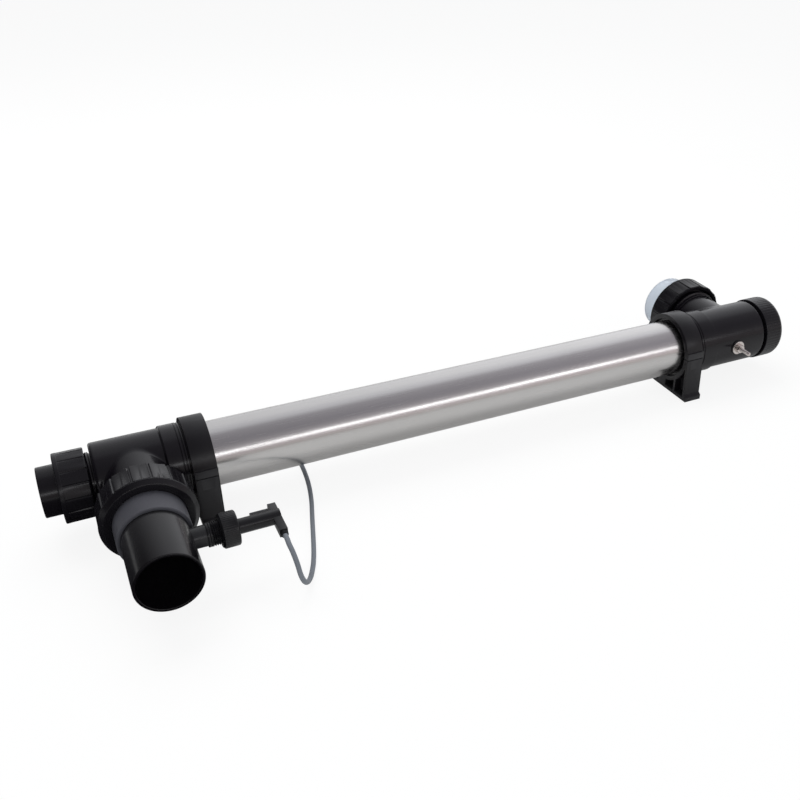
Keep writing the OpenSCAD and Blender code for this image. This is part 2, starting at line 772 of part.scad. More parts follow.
// Clear flanged tailpiece with a socket for the outgoing pipe
module outlet_tailpiece() {
    color("#dfe8ee", 0.4) branch_frame(1)
        turned([[pipe_bore, flange_u0], [flange_or, flange_u0], [flange_or, flange_u1],
            [clear_or, flange_u1],
            [clear_or, clear_reach - 0.8], [clear_or - 0.8, clear_reach], [pipe_r + fit, clear_reach],
            [pipe_r + fit, outlet_bore_u0], [pipe_bore, outlet_bore_u0]]);
}

// ---------------------------------------------------------------- blanked inlet end

// Closed plug that blanks the tee's end
module blanking_plug() {
    stub_t1 = ring_t1 + stub_show;
    color("#1c1c1f") end_frame(-1) difference() {
        turned([[0, plug_flange_t0], [plug_flange_or, plug_flange_t0], [plug_flange_or, plug_flange_t1],
            [stub_r, plug_flange_t1], [stub_r, stub_t1 - 0.8], [stub_r - 0.8, stub_t1], [0, stub_t1]]);
        translate([0, 0, plug_flange_t0 + 5]) cylinder(r = stub_r - 3.5, h = stub_t1);
    }
}

// Rubber ring in the neck's face behind the plug
module plug_seal() {
    color("#2a2a2a") end_frame(-1)
        ring(end_bore - 0.2, end_bore - 3, inlet_neck_t1 - 3, inlet_neck_t1 + face_gap - 0.02);
}

// Ribbed ring nut that holds the plug
module ring_nut() {
    bore = plug_thread_or + run_gap;
    lip = stub_r + run_gap;
    color("#1c1c1f") end_frame(-1) difference() {
        turned(concat([[bore, ring_t0], [end_nut_or - 0.8, ring_t0], [end_nut_or, ring_t0 + 0.8]],
            arc(end_nut_or - 1.5, ring_t1 - 1.5, 1.5, 0, 90),
            [[lip, ring_t1], [lip, ring_t1 - nut_lip], [bore, ring_t1 - nut_lip]]));
        grip_grooves(end_nut_or, ring_t0 - over, ring_t1 - 4, 16, 2, 1.2);
    }
}

// ---------------------------------------------------------------- flow switch

// Threaded nipple glued into the inlet pipe
module switch_nipple() {
    color("#1c1c1f") switch_frame() difference() {
        turned(concat([[0, nipple_s0], [nipple_r, nipple_s0], [nipple_r, thread_s0 - 2],
            [nipple_thread_or, thread_s0 - 2],
            [nipple_thread_or, thread_s0]], crests(nipple_thread_or, thread_s0, 2, 7),
            [[nipple_thread_or - 1.2, thread_s1], [0, thread_s1]]));
        translate([0, 0, nipple_s0 - over]) cylinder(r = nipple_bore, h = thread_s1 - nipple_s0 + 2 * over);
    }
}

// Body of the flow switch: flange, stem with a forked tip, barrel, cross arm and fin
module switch_body() {
    color("#222225") switch_frame() difference() {
        union() {
            translate([0, 0, stem_s0]) cylinder(r = stem_r, h = switch_flange_s0 - stem_s0 + over);
            translate([0, 0, switch_flange_s0])
                cylinder(r = nipple_thread_or - 0.2, h = switch_flange_s1 - switch_flange_s0);
            translate([0, 0, switch_flange_s1]) cylinder(r = body_r, h = switch_body_l + arm_w);
            translate([-arm_h / 2, -arm_reach, arm_s0]) cube([arm_h, arm_reach + tab_reach, arm_w]);
            translate([-4, 0, arm_s0 - fin_l]) cube([8, body_r + 3.5, fin_l + over]);
        }
        translate([0, 0, switch_flange_s0 + 2])
            cylinder(r = body_r - 2.5, h = arm_s0 + arm_w - 3 - switch_flange_s0);
        translate([-cheek_gap / 2, -stem_r - over, stem_s0 - over])
            cube([cheek_gap, 2 * (stem_r + over), 11]);
        translate([0, 0, paddle_pin_s]) rotate([0, 90, 0])
            cylinder(d = paddle_pin_d, h = 2 * stem_r + 2 * over, center = true);
        translate([0, 1 - arm_reach, arm_s0 + arm_w / 2]) rotate([90, 0, 0])
            cylinder(r = cable_r + 0.05, h = 8, center = true);
        translate([-1.5, -nipple_thread_or - over, switch_flange_s0 - over]) cube([3, 4, 4]);
    }
}

// Flat gasket under the switch's flange
module switch_gasket() {
    color("#2a2a2a") switch_frame()
        ring(nipple_thread_or - 0.4, nipple_bore + 0.2, thread_s1 + face_gap, switch_flange_s0 - 0.02);
}

// Knurled nut that holds the switch on its nipple
module switch_nut() {
    r = switch_nut_d / 2;
    color("#222225") switch_frame() difference() {
        turned(concat([[0, switch_nut_s0], [r - 2, switch_nut_s0], [r, switch_nut_s0 + 2]],
            arc(r - 2, switch_nut_s1 - 2, 2, 0, 90), [[0, switch_nut_s1]]));
        translate([0, 0, switch_nut_s0 - over])
            cylinder(r = nipple_thread_or + run_gap, h = switch_nut_l - 3 + over);
        translate([0, 0, switch_nut_s0]) cylinder(r = body_r + run_gap, h = switch_nut_l + over);
    }
}

// Little circuit board in the switch's barrel
module switch_board() {
    color("seagreen") switch_frame() translate([-3.6, -1, switch_flange_s0 + 2.1]) cube([7.2, 1, 26]);
}

// Glass reed capsule on the board
module reed_capsule() {
    color("#cfd8dc") switch_frame() translate([0, 1.2, switch_flange_s0 + 4])
        cylinder(r = 1.15, h = 15, $fn = 24);
}

// Paddle: head in the fork, thin shaft and flat blade facing the flow
module paddle() {
    color("#3a3a3d") switch_frame() difference() {
        union() {
            translate([-head_w / 2, -2, stem_s0 - 1]) cube([head_w, 4, 9.6]);
            translate([0, 0, blade_s1 - over]) cylinder(r = shaft_r, h = shaft_l + over, $fn = 32);
            translate([-blade_w / 2, -blade_t / 2, blade_s0]) cube([blade_w, blade_t, blade_l]);
        }
        translate([0, 0, paddle_pin_s]) rotate([0, 90, 0])
            cylinder(r = paddle_pin_d / 2 + pin_fit, h = 2 * stem_r, center = true);
        translate([0, 0, stem_s0 + 5.6]) cylinder(r = 1.25, h = 4, $fn = 24);
    }
}

// Magnet in the paddle's head that works the reed
module paddle_magnet() {
    color("silver") switch_frame() translate([0, 0, stem_s0 + 5.6]) cylinder(r = 1.2, h = 2.8, $fn = 24);
}

// Pin that the paddle swings on
module paddle_pin() {
    color("silver") switch_frame() translate([0, 0, paddle_pin_s]) rotate([0, 90, 0])
        cylinder(d = paddle_pin_d, h = 2 * stem_r - 0.4, center = true);
}

// Frame at the mouth of the cross arm, with +Z pointing out along the cable
module arm_frame() {
    translate([arm_mid, switch_y - arm_reach, axis_h]) rotate([90, 0, 0]) children();
}

// Rubber grommet where the cable leaves the cross arm
module cable_grommet() {
    color("#2a2a2a") arm_frame() difference() {
        turned([[0, 0], [cable_r + 1.4, 0], [cable_r + 1, grommet_l], [0, grommet_l]]);
        translate([0, 0, -over]) cylinder(r = cable_r + 0.05, h = grommet_l + 2 * over);
    }
}

// Catmull-Rom point between route points i and i + 1
function route_point(i, f) =
    let (n = len(cable_route) - 1,
         a = cable_route[max(i - 1, 0)], b = cable_route[i], c = cable_route[min(i + 1, n)],
         d = cable_route[min(i + 2, n)])
    0.5 * (2 * b + (c - a) * f + (2 * a - 5 * b + 4 * c - d) * f * f + (3 * b - a - 3 * c + d) * f * f * f);

// The cable's middle line in the part's frame
function cable_line() = [for (i = [0 : len(cable_route) - 2], k = [0 : cable_steps - 1])
    [arm_mid, cable_y0, axis_h] + route_point(i, k / cable_steps)];

function unit(v) = v / norm(v);

// Round cross-sections swept along a line, as one closed polyhedron
module swept(line, r, sides) {
    n = len(line);
    tangents = [for (i = [0 : n - 1]) unit(line[min(i + 1, n - 1)] - line[max(i - 1, 0)])];
    rings = [for (i = [0 : n - 1])
        let (t = i == 0 ? [0, -1, 0] : tangents[i], u = [1, 0, 0] - t * t[0], a = unit(u), b = cross(t, a))
        for (k = [0 : sides - 1]) line[i] + r * (a * cos(k * 360 / sides) + b * sin(k * 360 / sides))];
    sides_faces = [for (i = [0 : n - 2], k = [0 : sides - 1])
        [i * sides + k, i * sides + (k + 1) % sides, (i + 1) * sides + (k + 1) % sides,
            (i + 1) * sides + k]];
    ends = [[for (k = [sides - 1 : -1 : 0]) k], [for (k = [0 : sides - 1]) (n - 1) * sides + k]];
    polyhedron(points = rings, faces = concat(sides_faces, ends), convexity = 8);
}

// Signal cable from the grommet to the coil
module switch_cable() {
    color("#6f747a") swept(cable_line(), cable_r, cable_sides);
}

// The rest of the cable, wound in a round coil behind the tube
module cable_coil() {
    color("#6f747a") translate([coil_x, coil_y, coil_lift])
        ring(coil_mid + coil_half, coil_mid - coil_half, 0, coil_h);
}

// Strap round the coil's turns
module cable_tie() {
    strap = 1;
    color("#19191b") translate([coil_x, coil_y, 0]) difference() {
        translate([coil_mid - coil_half - strap - 0.3, -2.5, 0.15])
            cube([2 * coil_half + 2 * strap + 0.6, 5, coil_h + coil_lift + 1]);
        translate([coil_mid - coil_half - 0.3, -2.5 - over, coil_lift - 0.05])
            cube([2 * coil_half + 0.6, 5 + 2 * over, coil_h + 0.1]);
    }
}

// Two-pole plug on the cable's far end, lying inside the coil
module cable_connector() {
    color("#e8e4d8") translate([coil_x, coil_y, 0]) difference() {
        translate([-plug_size[0] / 2, plug_y - plug_size[1] / 2, 0.15]) cube(plug_size);
        plug_wells() cylinder(r = 1.6, h = 8, $fn = 24);
    }
}

// Frames on the plug's two contact wells, with +Z pointing out of it
module plug_wells() {
    for (s = [-1, 1]) translate([-6, plug_y + s * 2.5, plug_size[2] / 2]) rotate([0, -90, 0]) children();
}

// Contact pins inside the plug
module connector_pins() {
    color("goldenrod") translate([coil_x, coil_y, 0]) plug_wells() cylinder(r = 0.8, h = 5, $fn = 24);
}

reactor_tube();
inlet_tee();
outlet_tee();
inlet_tube_seal();
outlet_tube_seal();
inlet_clamp_saddle();
outlet_clamp_saddle();
inlet_clamp_bow();
outlet_clamp_bow();
inlet_bow_pin();
outlet_bow_pin();
sleeve_guide();
quartz_sleeve();
sleeve_bush();
sleeve_seal();
sleeve_gland_nut();
lamp_tube();
lamp_ends();
lamp_return_wire();
lamp_pins();
lamp_holder();
end_cap();
cap_seal();
cable_gland_body();
cable_gland_nut();
earth_stud();
earth_washer();
earth_nut();
earth_strip();
inlet_pipe();
inlet_tailpiece();
inlet_union_nut();
inlet_union_seal();
outlet_tailpiece();
outlet_union_nut();
outlet_union_seal();
blanking_plug();
plug_seal();
ring_nut();
switch_nipple();
switch_body();
switch_gasket();
switch_nut();
switch_board();
reed_capsule();
paddle();
paddle_magnet();
paddle_pin();
cable_grommet();
switch_cable();
cable_coil();
cable_tie();
cable_connector();
connector_pins();
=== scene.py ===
import math

import bmesh
import bpy
import numpy as np
from mathutils import Matrix, Vector


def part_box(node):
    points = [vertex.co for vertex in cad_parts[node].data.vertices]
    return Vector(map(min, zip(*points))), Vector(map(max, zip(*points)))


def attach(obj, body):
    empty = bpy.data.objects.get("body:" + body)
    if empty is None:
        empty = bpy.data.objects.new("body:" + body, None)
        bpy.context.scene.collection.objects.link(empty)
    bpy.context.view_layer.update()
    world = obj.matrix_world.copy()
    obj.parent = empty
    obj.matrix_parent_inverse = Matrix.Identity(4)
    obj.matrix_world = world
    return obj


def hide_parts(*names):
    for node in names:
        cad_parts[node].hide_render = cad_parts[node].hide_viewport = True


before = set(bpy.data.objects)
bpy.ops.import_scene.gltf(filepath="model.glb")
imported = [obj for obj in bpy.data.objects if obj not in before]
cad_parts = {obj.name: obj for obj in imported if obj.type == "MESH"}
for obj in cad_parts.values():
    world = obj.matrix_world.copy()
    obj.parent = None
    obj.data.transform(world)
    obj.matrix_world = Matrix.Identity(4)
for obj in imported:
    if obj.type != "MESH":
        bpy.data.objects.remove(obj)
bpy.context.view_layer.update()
scene = bpy.context.scene
MM = 0.001  # one millimetre, in metres


# ---------------------------------------- camera
# The camera stands in front of the inlet end, above the tube, and looks along it
# towards the lamp end.

camera_place = Vector((-0.41414, -0.85174, 0.60909))
camera_target = Vector((0.01136, 0.0, 0.04639))
camera_roll = 0.017
forward = (camera_target - camera_place).normalized()
level = forward.cross(Vector((0, 0, 1))).normalized()
upward = level.cross(forward)
right = level * math.cos(camera_roll) + upward * math.sin(camera_roll)
up = upward * math.cos(camera_roll) - level * math.sin(camera_roll)


def add_object(name, data):
    """A scene object that holds that data."""
    thing = bpy.data.objects.new(name, data)
    scene.collection.objects.link(thing)
    return thing


camera_data = bpy.data.cameras.new("camera")
camera_data.sensor_width = 36
camera_data.lens = 41.65
camera_data.shift_x = -0.0875
camera_data.clip_end = 50
camera = add_object("camera", camera_data)
camera_axes = Matrix((right, up, -forward)).transposed().to_4x4()
camera.matrix_world = Matrix.Translation(camera_place) @ camera_axes
scene.camera = camera


# ---------------------------------------- signal cable
# The flow switch's lead: a limp two-core cable with a grey-blue jacket. It droops from the
# cross arm, passes under the tube and is wound in a small round coil behind it.

cable_diameter = 5 * MM
grommet_low, grommet_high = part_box("cable_grommet")
cable_exit = Vector((
    (grommet_low.x + grommet_high.x) / 2, grommet_low.y, (grommet_low.z + grommet_high.z) / 2))
cable_route = [
    (0, 0, 0), (0, -6, 0), (0, -12, -2), (1, -18, -6), (2, -23, -12), (3, -26, -19),
    (4, -27.5, -27), (6, -27, -35), (9, -24, -42), (13, -18, -47.5), (18, -9, -51),
    (23, 2, -53), (28, 14, -53.3), (34, 32, -53.3), (41, 56, -53.3), (49, 84, -53.3),
    (57, 112, -53.3), (63, 140, -53.3), (66.5, 168, -53.3), (67.8, 196, -53.3),
    (68, 210, -53.3), (68, 225, -53.3),
]


def smooth_route(points, steps):
    """Points of a Catmull-Rom line through the given ones."""
    line = []
    last = len(points) - 1
    for i in range(last):
        a, b, c, d = (np.array(points[min(max(i + k, 0), last)], float) for k in (-1, 0, 1, 2))
        for k in range(steps):
            f = k / steps
            line.append(0.5 * (2 * b + (c - a) * f + (2 * a - 5 * b + 4 * c - d) * f ** 2
                               + (3 * b - a - 3 * c + d) * f ** 3))
    return line + [np.array(points[-1], float)]


def coil_line(centre, outer, inner, z_low, z_high, turns, shift_turns, steps):
    """Two columns of turns: up the outer one, across, down the inner one, clockwise from -X."""
    line = []
    for r0, r1, z0, z1, n, done in (
            (outer, outer, z_low, z_high, turns, 0),
            (outer, inner, z_high, z_high, shift_turns, turns),
            (inner, inner, z_high, z_low, turns, turns + shift_turns)):
        count = max(2, int(n * steps))
        for k in range(count):
            f = k / count
            angle = math.pi - 2 * math.pi * (n * f + done)
            r = r0 + (r1 - r0) * (f * f * (3 - 2 * f))
            line.append(np.array((
                centre[0] + r * math.cos(angle), centre[1] + r * math.sin(angle),
                z0 + (z1 - z0) * f)))
    return line


coil_low, coil_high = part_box("cable_coil")
coil_centre = ((coil_low.x + coil_high.x) / 2 / MM, (coil_low.y + coil_high.y) / 2 / MM)
cable_points = [np.array(cable_exit) / MM + p for p in smooth_route(cable_route, 4)]
coil_outer, coil_inner = 30, 25
coil_foot, coil_top = 2.7, 18.7
column_turns, shift_turns = 3.195, 0.11
cable_points += coil_line(
    coil_centre, coil_outer, coil_inner, coil_foot, coil_top, column_turns, shift_turns, 72)
plug_bend, plug_rise, bend_steps = 13, 1.3, 8
for k in range(bend_steps + 1):
    turn = math.pi / 2 * k / bend_steps
    cable_points.append(np.array((
        coil_centre[0] + coil_inner - plug_bend + plug_bend * math.cos(turn),
        coil_centre[1] - plug_bend * math.sin(turn), coil_foot + plug_rise * k / bend_steps)))
cable_curve = bpy.data.curves.new("signal_cable", "CURVE")
cable_curve.dimensions = "3D"
cable_curve.bevel_depth = cable_diameter / 2
cable_curve.bevel_resolution = 4
cable_curve.use_fill_caps = True
cable_spline = cable_curve.splines.new("POLY")
cable_spline.points.add(len(cable_points) - 1)
for point, place in zip(cable_spline.points, cable_points):
    point.co = (*(place * MM), 1)
cable_spline.use_smooth = True
signal_cable = add_object("signal_cable", cable_curve)


def set_inputs(node, **values):
    """Sets a node's input constants by name, with _ for a space."""
    for name, value in values.items():
        node.inputs[name.replace("_", " ")].default_value = value
    return node


def add_noise(nodes, links, scale, detail=4.0, roughness=0.55, stretch=(1, 1, 1)):
    """Noise on Object coordinates, in cycles per metre; stretch scales each axis."""
    place = nodes.new("ShaderNodeTexCoord")
    mapping = set_inputs(nodes.new("ShaderNodeMapping"), Scale=stretch)
    noise = set_inputs(nodes.new("ShaderNodeTexNoise"), Scale=scale, Detail=detail,
                       Roughness=roughness)
    links.new(place.outputs["Object"], mapping.inputs["Vector"])
    links.new(mapping.outputs["Vector"], noise.inputs["Vector"])
    return noise


def map_range(nodes, links, value, from_low=0.0, from_high=1.0, to_low=0.0, to_high=1.0):
    """A Map Range node on a value socket; gives its result socket."""
    node = set_inputs(nodes.new("ShaderNodeMapRange"), From_Min=from_low, From_Max=from_high,
                      To_Min=to_low, To_Max=to_high)
    links.new(value, node.inputs["Value"])
    return node.outputs["Result"]


def feed(links, value, socket):
    """Links another socket to an input, or sets the input to a constant."""
    if isinstance(value, bpy.types.NodeSocket):
        links.new(value, socket)
    else:
        socket.default_value = value


def calculate(nodes, links, operation, *values):
    """A Math node on numbers and sockets; gives its output socket."""
    node = nodes.new("ShaderNodeMath")
    node.operation = operation
    for socket, value in zip(node.inputs, values):
        feed(links, value, socket)
    return node.outputs[0]


def surface_marks_group():
    """Shared effect: moulded grain, slow mottling, small scuffs and rubbed edges."""
    group = bpy.data.node_groups.new("surface_marks", "ShaderNodeTree")
    for name, kind, default in (
            ("Grain Scale", "NodeSocketFloat", 2500.0), ("Mottle Scale", "NodeSocketFloat", 40.0),
            ("Scuff Scale", "NodeSocketFloat", 90.0), ("Edge Start", "NodeSocketFloat", 0.53)):
        socket = group.interface.new_socket(name=name, in_out="INPUT", socket_type=kind)
        socket.default_value = default
    for name in ("Grain", "Mottle", "Scuffs", "Edges"):
        group.interface.new_socket(name=name, in_out="OUTPUT", socket_type="NodeSocketFloat")
    nodes, links = group.nodes, group.links
    entry = nodes.new("NodeGroupInput")
    result = nodes.new("NodeGroupOutput")
    grain = add_noise(nodes, links, 1, 3, 0.6)
    links.new(entry.outputs["Grain Scale"], grain.inputs["Scale"])
    links.new(grain.outputs["Fac"], result.inputs["Grain"])
    mottle = add_noise(nodes, links, 1, 5, 0.6)
    links.new(entry.outputs["Mottle Scale"], mottle.inputs["Scale"])
    links.new(mottle.outputs["Fac"], result.inputs["Mottle"])
    scuff = add_noise(nodes, links, 1, 6, 0.7, (1.0, 6.0, 2.5))
    links.new(entry.outputs["Scuff Scale"], scuff.inputs["Scale"])
    scuffs = map_range(nodes, links, scuff.outputs["Fac"], 0.63, 0.74)
    links.new(scuffs, result.inputs["Scuffs"])
    shape = nodes.new("ShaderNodeNewGeometry")
    edges = map_range(nodes, links, shape.outputs["Pointiness"], from_high=0.62)
    links.new(entry.outputs["Edge Start"], edges.node.inputs["From Min"])
    links.new(edges, result.inputs["Edges"])
    return group


marks = surface_marks_group()


def mix_colour(nodes, links, factor, first, second, blend="MIX"):
    """Mixes two colours, each a tuple or a socket, by a factor."""
    mix = nodes.new("ShaderNodeMix")
    mix.data_type = "RGBA"
    mix.blend_type = blend
    feed(links, factor, mix.inputs["Factor"])
    for value, name in ((first, "A"), (second, "B")):
        socket = next(s for s in mix.inputs if s.name == name and s.type == "RGBA")
        feed(links, (*value, 1) if isinstance(value, tuple) else value, socket)
    return next(s for s in mix.outputs if s.type == "RGBA")


def new_material(name):
    """A material with its Principled shader, ready for nodes."""
    material = bpy.data.materials.new(name)
    material.use_nodes = True
    nodes, links = material.node_tree.nodes, material.node_tree.links
    return material, nodes, links, nodes["Principled BSDF"]


def finish_surface(nodes, links, shader, rough, rough_low, rough_high, height, strength, depth):
    """Sets the roughness from one mask, and a bump of that depth in millimetres from another."""
    links.new(map_range(nodes, links, rough, 0.3, 0.7, rough_low, rough_high),
              shader.inputs["Roughness"])
    bump = set_inputs(nodes.new("ShaderNodeBump"), Strength=strength, Distance=depth * MM)
    links.new(height, bump.inputs["Height"])
    links.new(bump.outputs["Normal"], shader.inputs["Normal"])


def moulded(name, dark, light, rough_low, rough_high, grain=0.02, grain_scale=2500.0,
            scuff=0.25, edge=0.35, worn=(0.12, 0.12, 0.125)):
    """A moulded plastic or rubber skin with grain, mottling, scuffs and rubbed edges."""
    material, nodes, links, shader = new_material(name)
    effect = nodes.new("ShaderNodeGroup")
    effect.node_tree = marks
    set_inputs(effect, Grain_Scale=grain_scale)
    base = mix_colour(nodes, links, effect.outputs["Mottle"], dark, light)
    for output, share in (("Scuffs", scuff), ("Edges", edge)):
        strength = calculate(nodes, links, "MULTIPLY", effect.outputs[output], share)
        base = mix_colour(nodes, links, strength, base, worn)
    links.new(base, shader.inputs["Base Color"])
    set_inputs(shader, Specular_IOR_Level=0.36)
    finish_surface(nodes, links, shader, effect.outputs["Mottle"], rough_low, rough_high,
                   effect.outputs["Grain"], 0.6, grain)
    return material


def paint(piece, material):
    """Gives a piece one material."""
    piece.data.materials.clear()
    piece.data.materials.append(material)
    return piece


jacket = moulded("cable_jacket", (0.20, 0.22, 0.25), (0.27, 0.29, 0.32), 0.42, 0.58,
                 0.03, 1500.0, 0.1, 0.0, (0.4, 0.4, 0.4))
paint(signal_cable, jacket)
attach(signal_cable, "flow_switch")
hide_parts("switch_cable", "cable_coil")

# The strap that holds the coil, and the two-pole plug that lies inside it.

strap_material = moulded(
    "nylon_strap", (0.012, 0.012, 0.013), (0.02, 0.02, 0.022), 0.35, 0.5)
plug_material = moulded("ivory_nylon", (0.60, 0.57, 0.49), (0.68, 0.65, 0.57), 0.4, 0.55,
                        0.02, 1500.0, 0.15, 0.1, (0.5, 0.47, 0.4))
for node, material in (("cable_tie", strap_material), ("cable_connector", plug_material)):
    paint(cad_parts[node], material)


# ---------------------------------------- reactor tube
# A 70 mm stainless tube, 1.5 mm thick, polished lengthwise with fine abrasive; both ends
# stand in the tees' sockets.

tube_low, tube_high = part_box("reactor_tube")
axis_height = (tube_low.z + tube_high.z) / 2


def level_line(x, y, direction):
    """A line (start, direction) at the height of the tube's axis."""
    return Vector((x, y, axis_height)), Vector(direction)


def rounded(points, steps=4):
    """Closed outline in (radius, along) millimetres; a third number rounds that corner."""
    result = []
    count = len(points)
    for i in range(count):
        here = np.array(points[i][:2], float)
        radius = points[i][2] if len(points[i]) > 2 else 0
        before = np.array(points[i - 1][:2], float) - here
        after = np.array(points[(i + 1) % count][:2], float) - here
        if radius <= 0:
            result.append(tuple(here))
            continue
        before_length, after_length = np.linalg.norm(before), np.linalg.norm(after)
        before, after = before / before_length, after / after_length
        half = math.acos(max(-1, min(1, float(before @ after)))) / 2
        reach = radius / math.tan(half)
        middle = here + ((before + after) / np.linalg.norm(before + after)
                         * radius / math.sin(half))
        start, finish = here + before * reach, here + after * reach
        a0 = math.atan2(*(start - middle)[::-1])
        sweep = math.atan2(*(finish - middle)[::-1]) - a0
        sweep = (sweep + math.pi) % (2 * math.pi) - math.pi
        hold = min(0.4, reach)
        if before_length > reach + 2 * hold:
            result.append(tuple(start + before * hold))
        for k in range(steps + 1):
            a = a0 + sweep * k / steps
            result.append(tuple(middle + radius * np.array((math.cos(a), math.sin(a)))))
        if after_length > reach + 2 * hold:
            result.append(tuple(finish + after * hold))
    return result


def crisp(data, sharp=32):
    """Smooth shading between edges sharper than that many degrees."""
    data.shade_smooth()
    data.set_sharp_from_angle(angle=math.radians(sharp))


def mesh_piece(name, vertices, faces, sharp=32):
    """A mesh object with merged doubles, outward faces and crisp edges."""
    shape = bmesh.new()
    made = [shape.verts.new(v) for v in vertices]
    for face in faces:
        corners = [made[i] for i in dict.fromkeys(face)]
        if len(corners) > 2:
            shape.faces.new(corners)
    bmesh.ops.remove_doubles(shape, verts=shape.verts, dist=2e-6)
    bmesh.ops.dissolve_degenerate(shape, edges=shape.edges, dist=1e-6)
    bmesh.ops.recalc_face_normals(shape, faces=shape.faces)
    data = bpy.data.meshes.new(name)
    shape.to_mesh(data)
    shape.free()
    crisp(data, sharp)
    return add_object(name, data)


def turned(name, outline, line, around=144, carve=None, wedge=None, sharp=32):
    """Turns a closed outline about a line (start, direction). carve(radius, along, angle) may
    change the radius; wedge gives the angles of a part turn."""
    start, direction = line
    side = direction.orthogonal().normalized() if abs(direction.z) > 0.9 else Vector((0, 0, 1))
    other = direction.cross(side)
    angles = wedge if wedge is not None else [2 * math.pi * k / around for k in range(around)]
    rows = []
    for angle in angles:
        row = []
        for radius, along in outline:
            r = carve(radius, along, angle) if carve else radius
            spoke = side * math.cos(angle) + other * math.sin(angle)
            row.append(start + (direction * along + spoke * r) * MM)
        rows.append(row)
    size = len(outline)
    faces = []
    loops = len(rows) if wedge is None else len(rows) - 1
    for j in range(loops):
        n = (j + 1) % len(rows)
        for i in range(size):
            k = (i + 1) % size
            if outline[i][0] == 0 and outline[k][0] == 0:
                continue
            faces.append((j * size + i, j * size + k, n * size + k, n * size + i))
    return mesh_piece(name, [v for row in rows for v in row], faces, sharp)


def place_piece(piece, body, slot, material, *nodes):
    """Paints a piece, sets it on its body and lets it stand for its CAD nodes."""
    paint(piece, material)
    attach(piece, body)
    if nodes:
        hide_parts(*nodes)
    return piece


def brushed_steel(name, colour, stained, rough_low, rough_high, stretch, scale, depth):
    """Steel with long polishing marks, which lie where the mapping's scale is small."""
    material, nodes, links, shader = new_material(name)
    set_inputs(shader, Metallic=1.0)
    brush = add_noise(nodes, links, scale, 8, 0.75, stretch).outputs["Fac"]
    stain = add_noise(nodes, links, 9, 4, 0.5)
    base = mix_colour(nodes, links, stain.outputs["Fac"], colour, stained)
    darker = map_range(nodes, links, brush, 0.62, 0.8, 0.0, 0.45)
    base = mix_colour(nodes, links, darker, base, tuple(0.72 * c for c in colour))
    links.new(base, shader.inputs["Base Color"])
    finish_surface(nodes, links, shader, brush, rough_low, rough_high, brush, 0.5, depth)
    return material


tube_radius = (tube_high.z - tube_low.z) / 2 / MM
tube_wall = 1.5
tube_end = tube_high.x / MM
tube_line = level_line(0, 0, (1, 0, 0))
tube_steel = brushed_steel("polished_tube_steel", (0.60, 0.585, 0.57), (0.66, 0.645, 0.64),
                           0.17, 0.30, (0.02, 1.0, 1.0), 700, 0.006)
tube_outline = rounded([
    (tube_radius, -tube_end, 0.4), (tube_radius, tube_end, 0.4),
    (tube_radius - tube_wall, tube_end, 0.4), (tube_radius - tube_wall, -tube_end, 0.4)])
place_piece(turned("steel_tube", tube_outline, tube_line, 192),
            "housing", "tube_steel", tube_steel, "reactor_tube")


# ---------------------------------------- tees
# Two injection-moulded black PVC tees. Each has a socket for the tube with a raised collar, one
# threaded branch for a union, and a threaded outer neck: for a blanking plug at the inlet, for
# the cap at the other end.

black_pvc = moulded("black_pvc", (0.0050, 0.0040, 0.0058), (0.0075, 0.0062, 0.0090),
                    0.17, 0.25, 0.006, 1800.0, 0.06, 0.10)
clamp_low, clamp_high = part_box("outlet_clamp_saddle")
clamp_x = (clamp_low.x + clamp_high.x) / 2
clamp_width = (clamp_high.x - clamp_low.x) / MM
inlet_low, inlet_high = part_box("inlet_pipe")
inlet_x = (inlet_low.x + inlet_high.x) / 2
clear_low, clear_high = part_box("outlet_tailpiece")
outlet_x = (clear_low.x + clear_high.x) / 2
inlet_end = level_line(-clamp_x, 0, (-1, 0, 0))
outlet_end = level_line(clamp_x, 0, (1, 0, 0))
inlet_branch = level_line(inlet_x, 0, (0, -1, 0))
outlet_branch = level_line(outlet_x, 0, (0, 1, 0))


def thread_carve(first, last, pitch, depth):
    """Cuts a round screw thread from first to last, running out at both ends."""
    def carve(radius, along, angle):
        fade = max(0.0, min(1.0, (along - first) / pitch, (last - along) / pitch))
        wave = 0.5 + 0.5 * math.cos(2 * math.pi * (along / pitch - angle / (2 * math.pi)))
        return radius - depth * fade * wave
    return carve


def fine_stretch(radius, first, last, step):
    """Outline points close enough together to carry a thread."""
    count = max(2, round((last - first) / step))
    return [(radius, first + (last - first) * k / count) for k in range(count + 1)]


def capped_distance(points, start, direction, radius, low, high, edge):
    """Distance in millimetres from points to a cylinder with rounded rims, in numpy."""
    offset = points - np.array(start) / MM
    along = offset @ np.array(direction)
    out = np.linalg.norm(offset - along[:, None] * np.array(direction), axis=1)
    side = out - (radius - edge)
    ends = np.abs(along - (low + high) / 2) - ((high - low) / 2 - edge)
    inside = np.minimum(np.maximum(side, ends), 0)
    outside = np.hypot(np.maximum(side, 0), np.maximum(ends, 0))
    return inside + outside - edge


def applied(piece):
    """Makes a piece's modifiers part of its mesh."""
    view = bpy.context.evaluated_depsgraph_get()
    piece.data = bpy.data.meshes.new_from_object(piece.evaluated_get(view))
    piece.modifiers.clear()


def combined(piece, operation, other):
    """Adds or cuts away another piece, which is used up."""
    change = piece.modifiers.new("change", "BOOLEAN")
    change.operation = operation
    change.solver = "EXACT"
    change.object = other
    applied(piece)
    bpy.data.objects.remove(other)


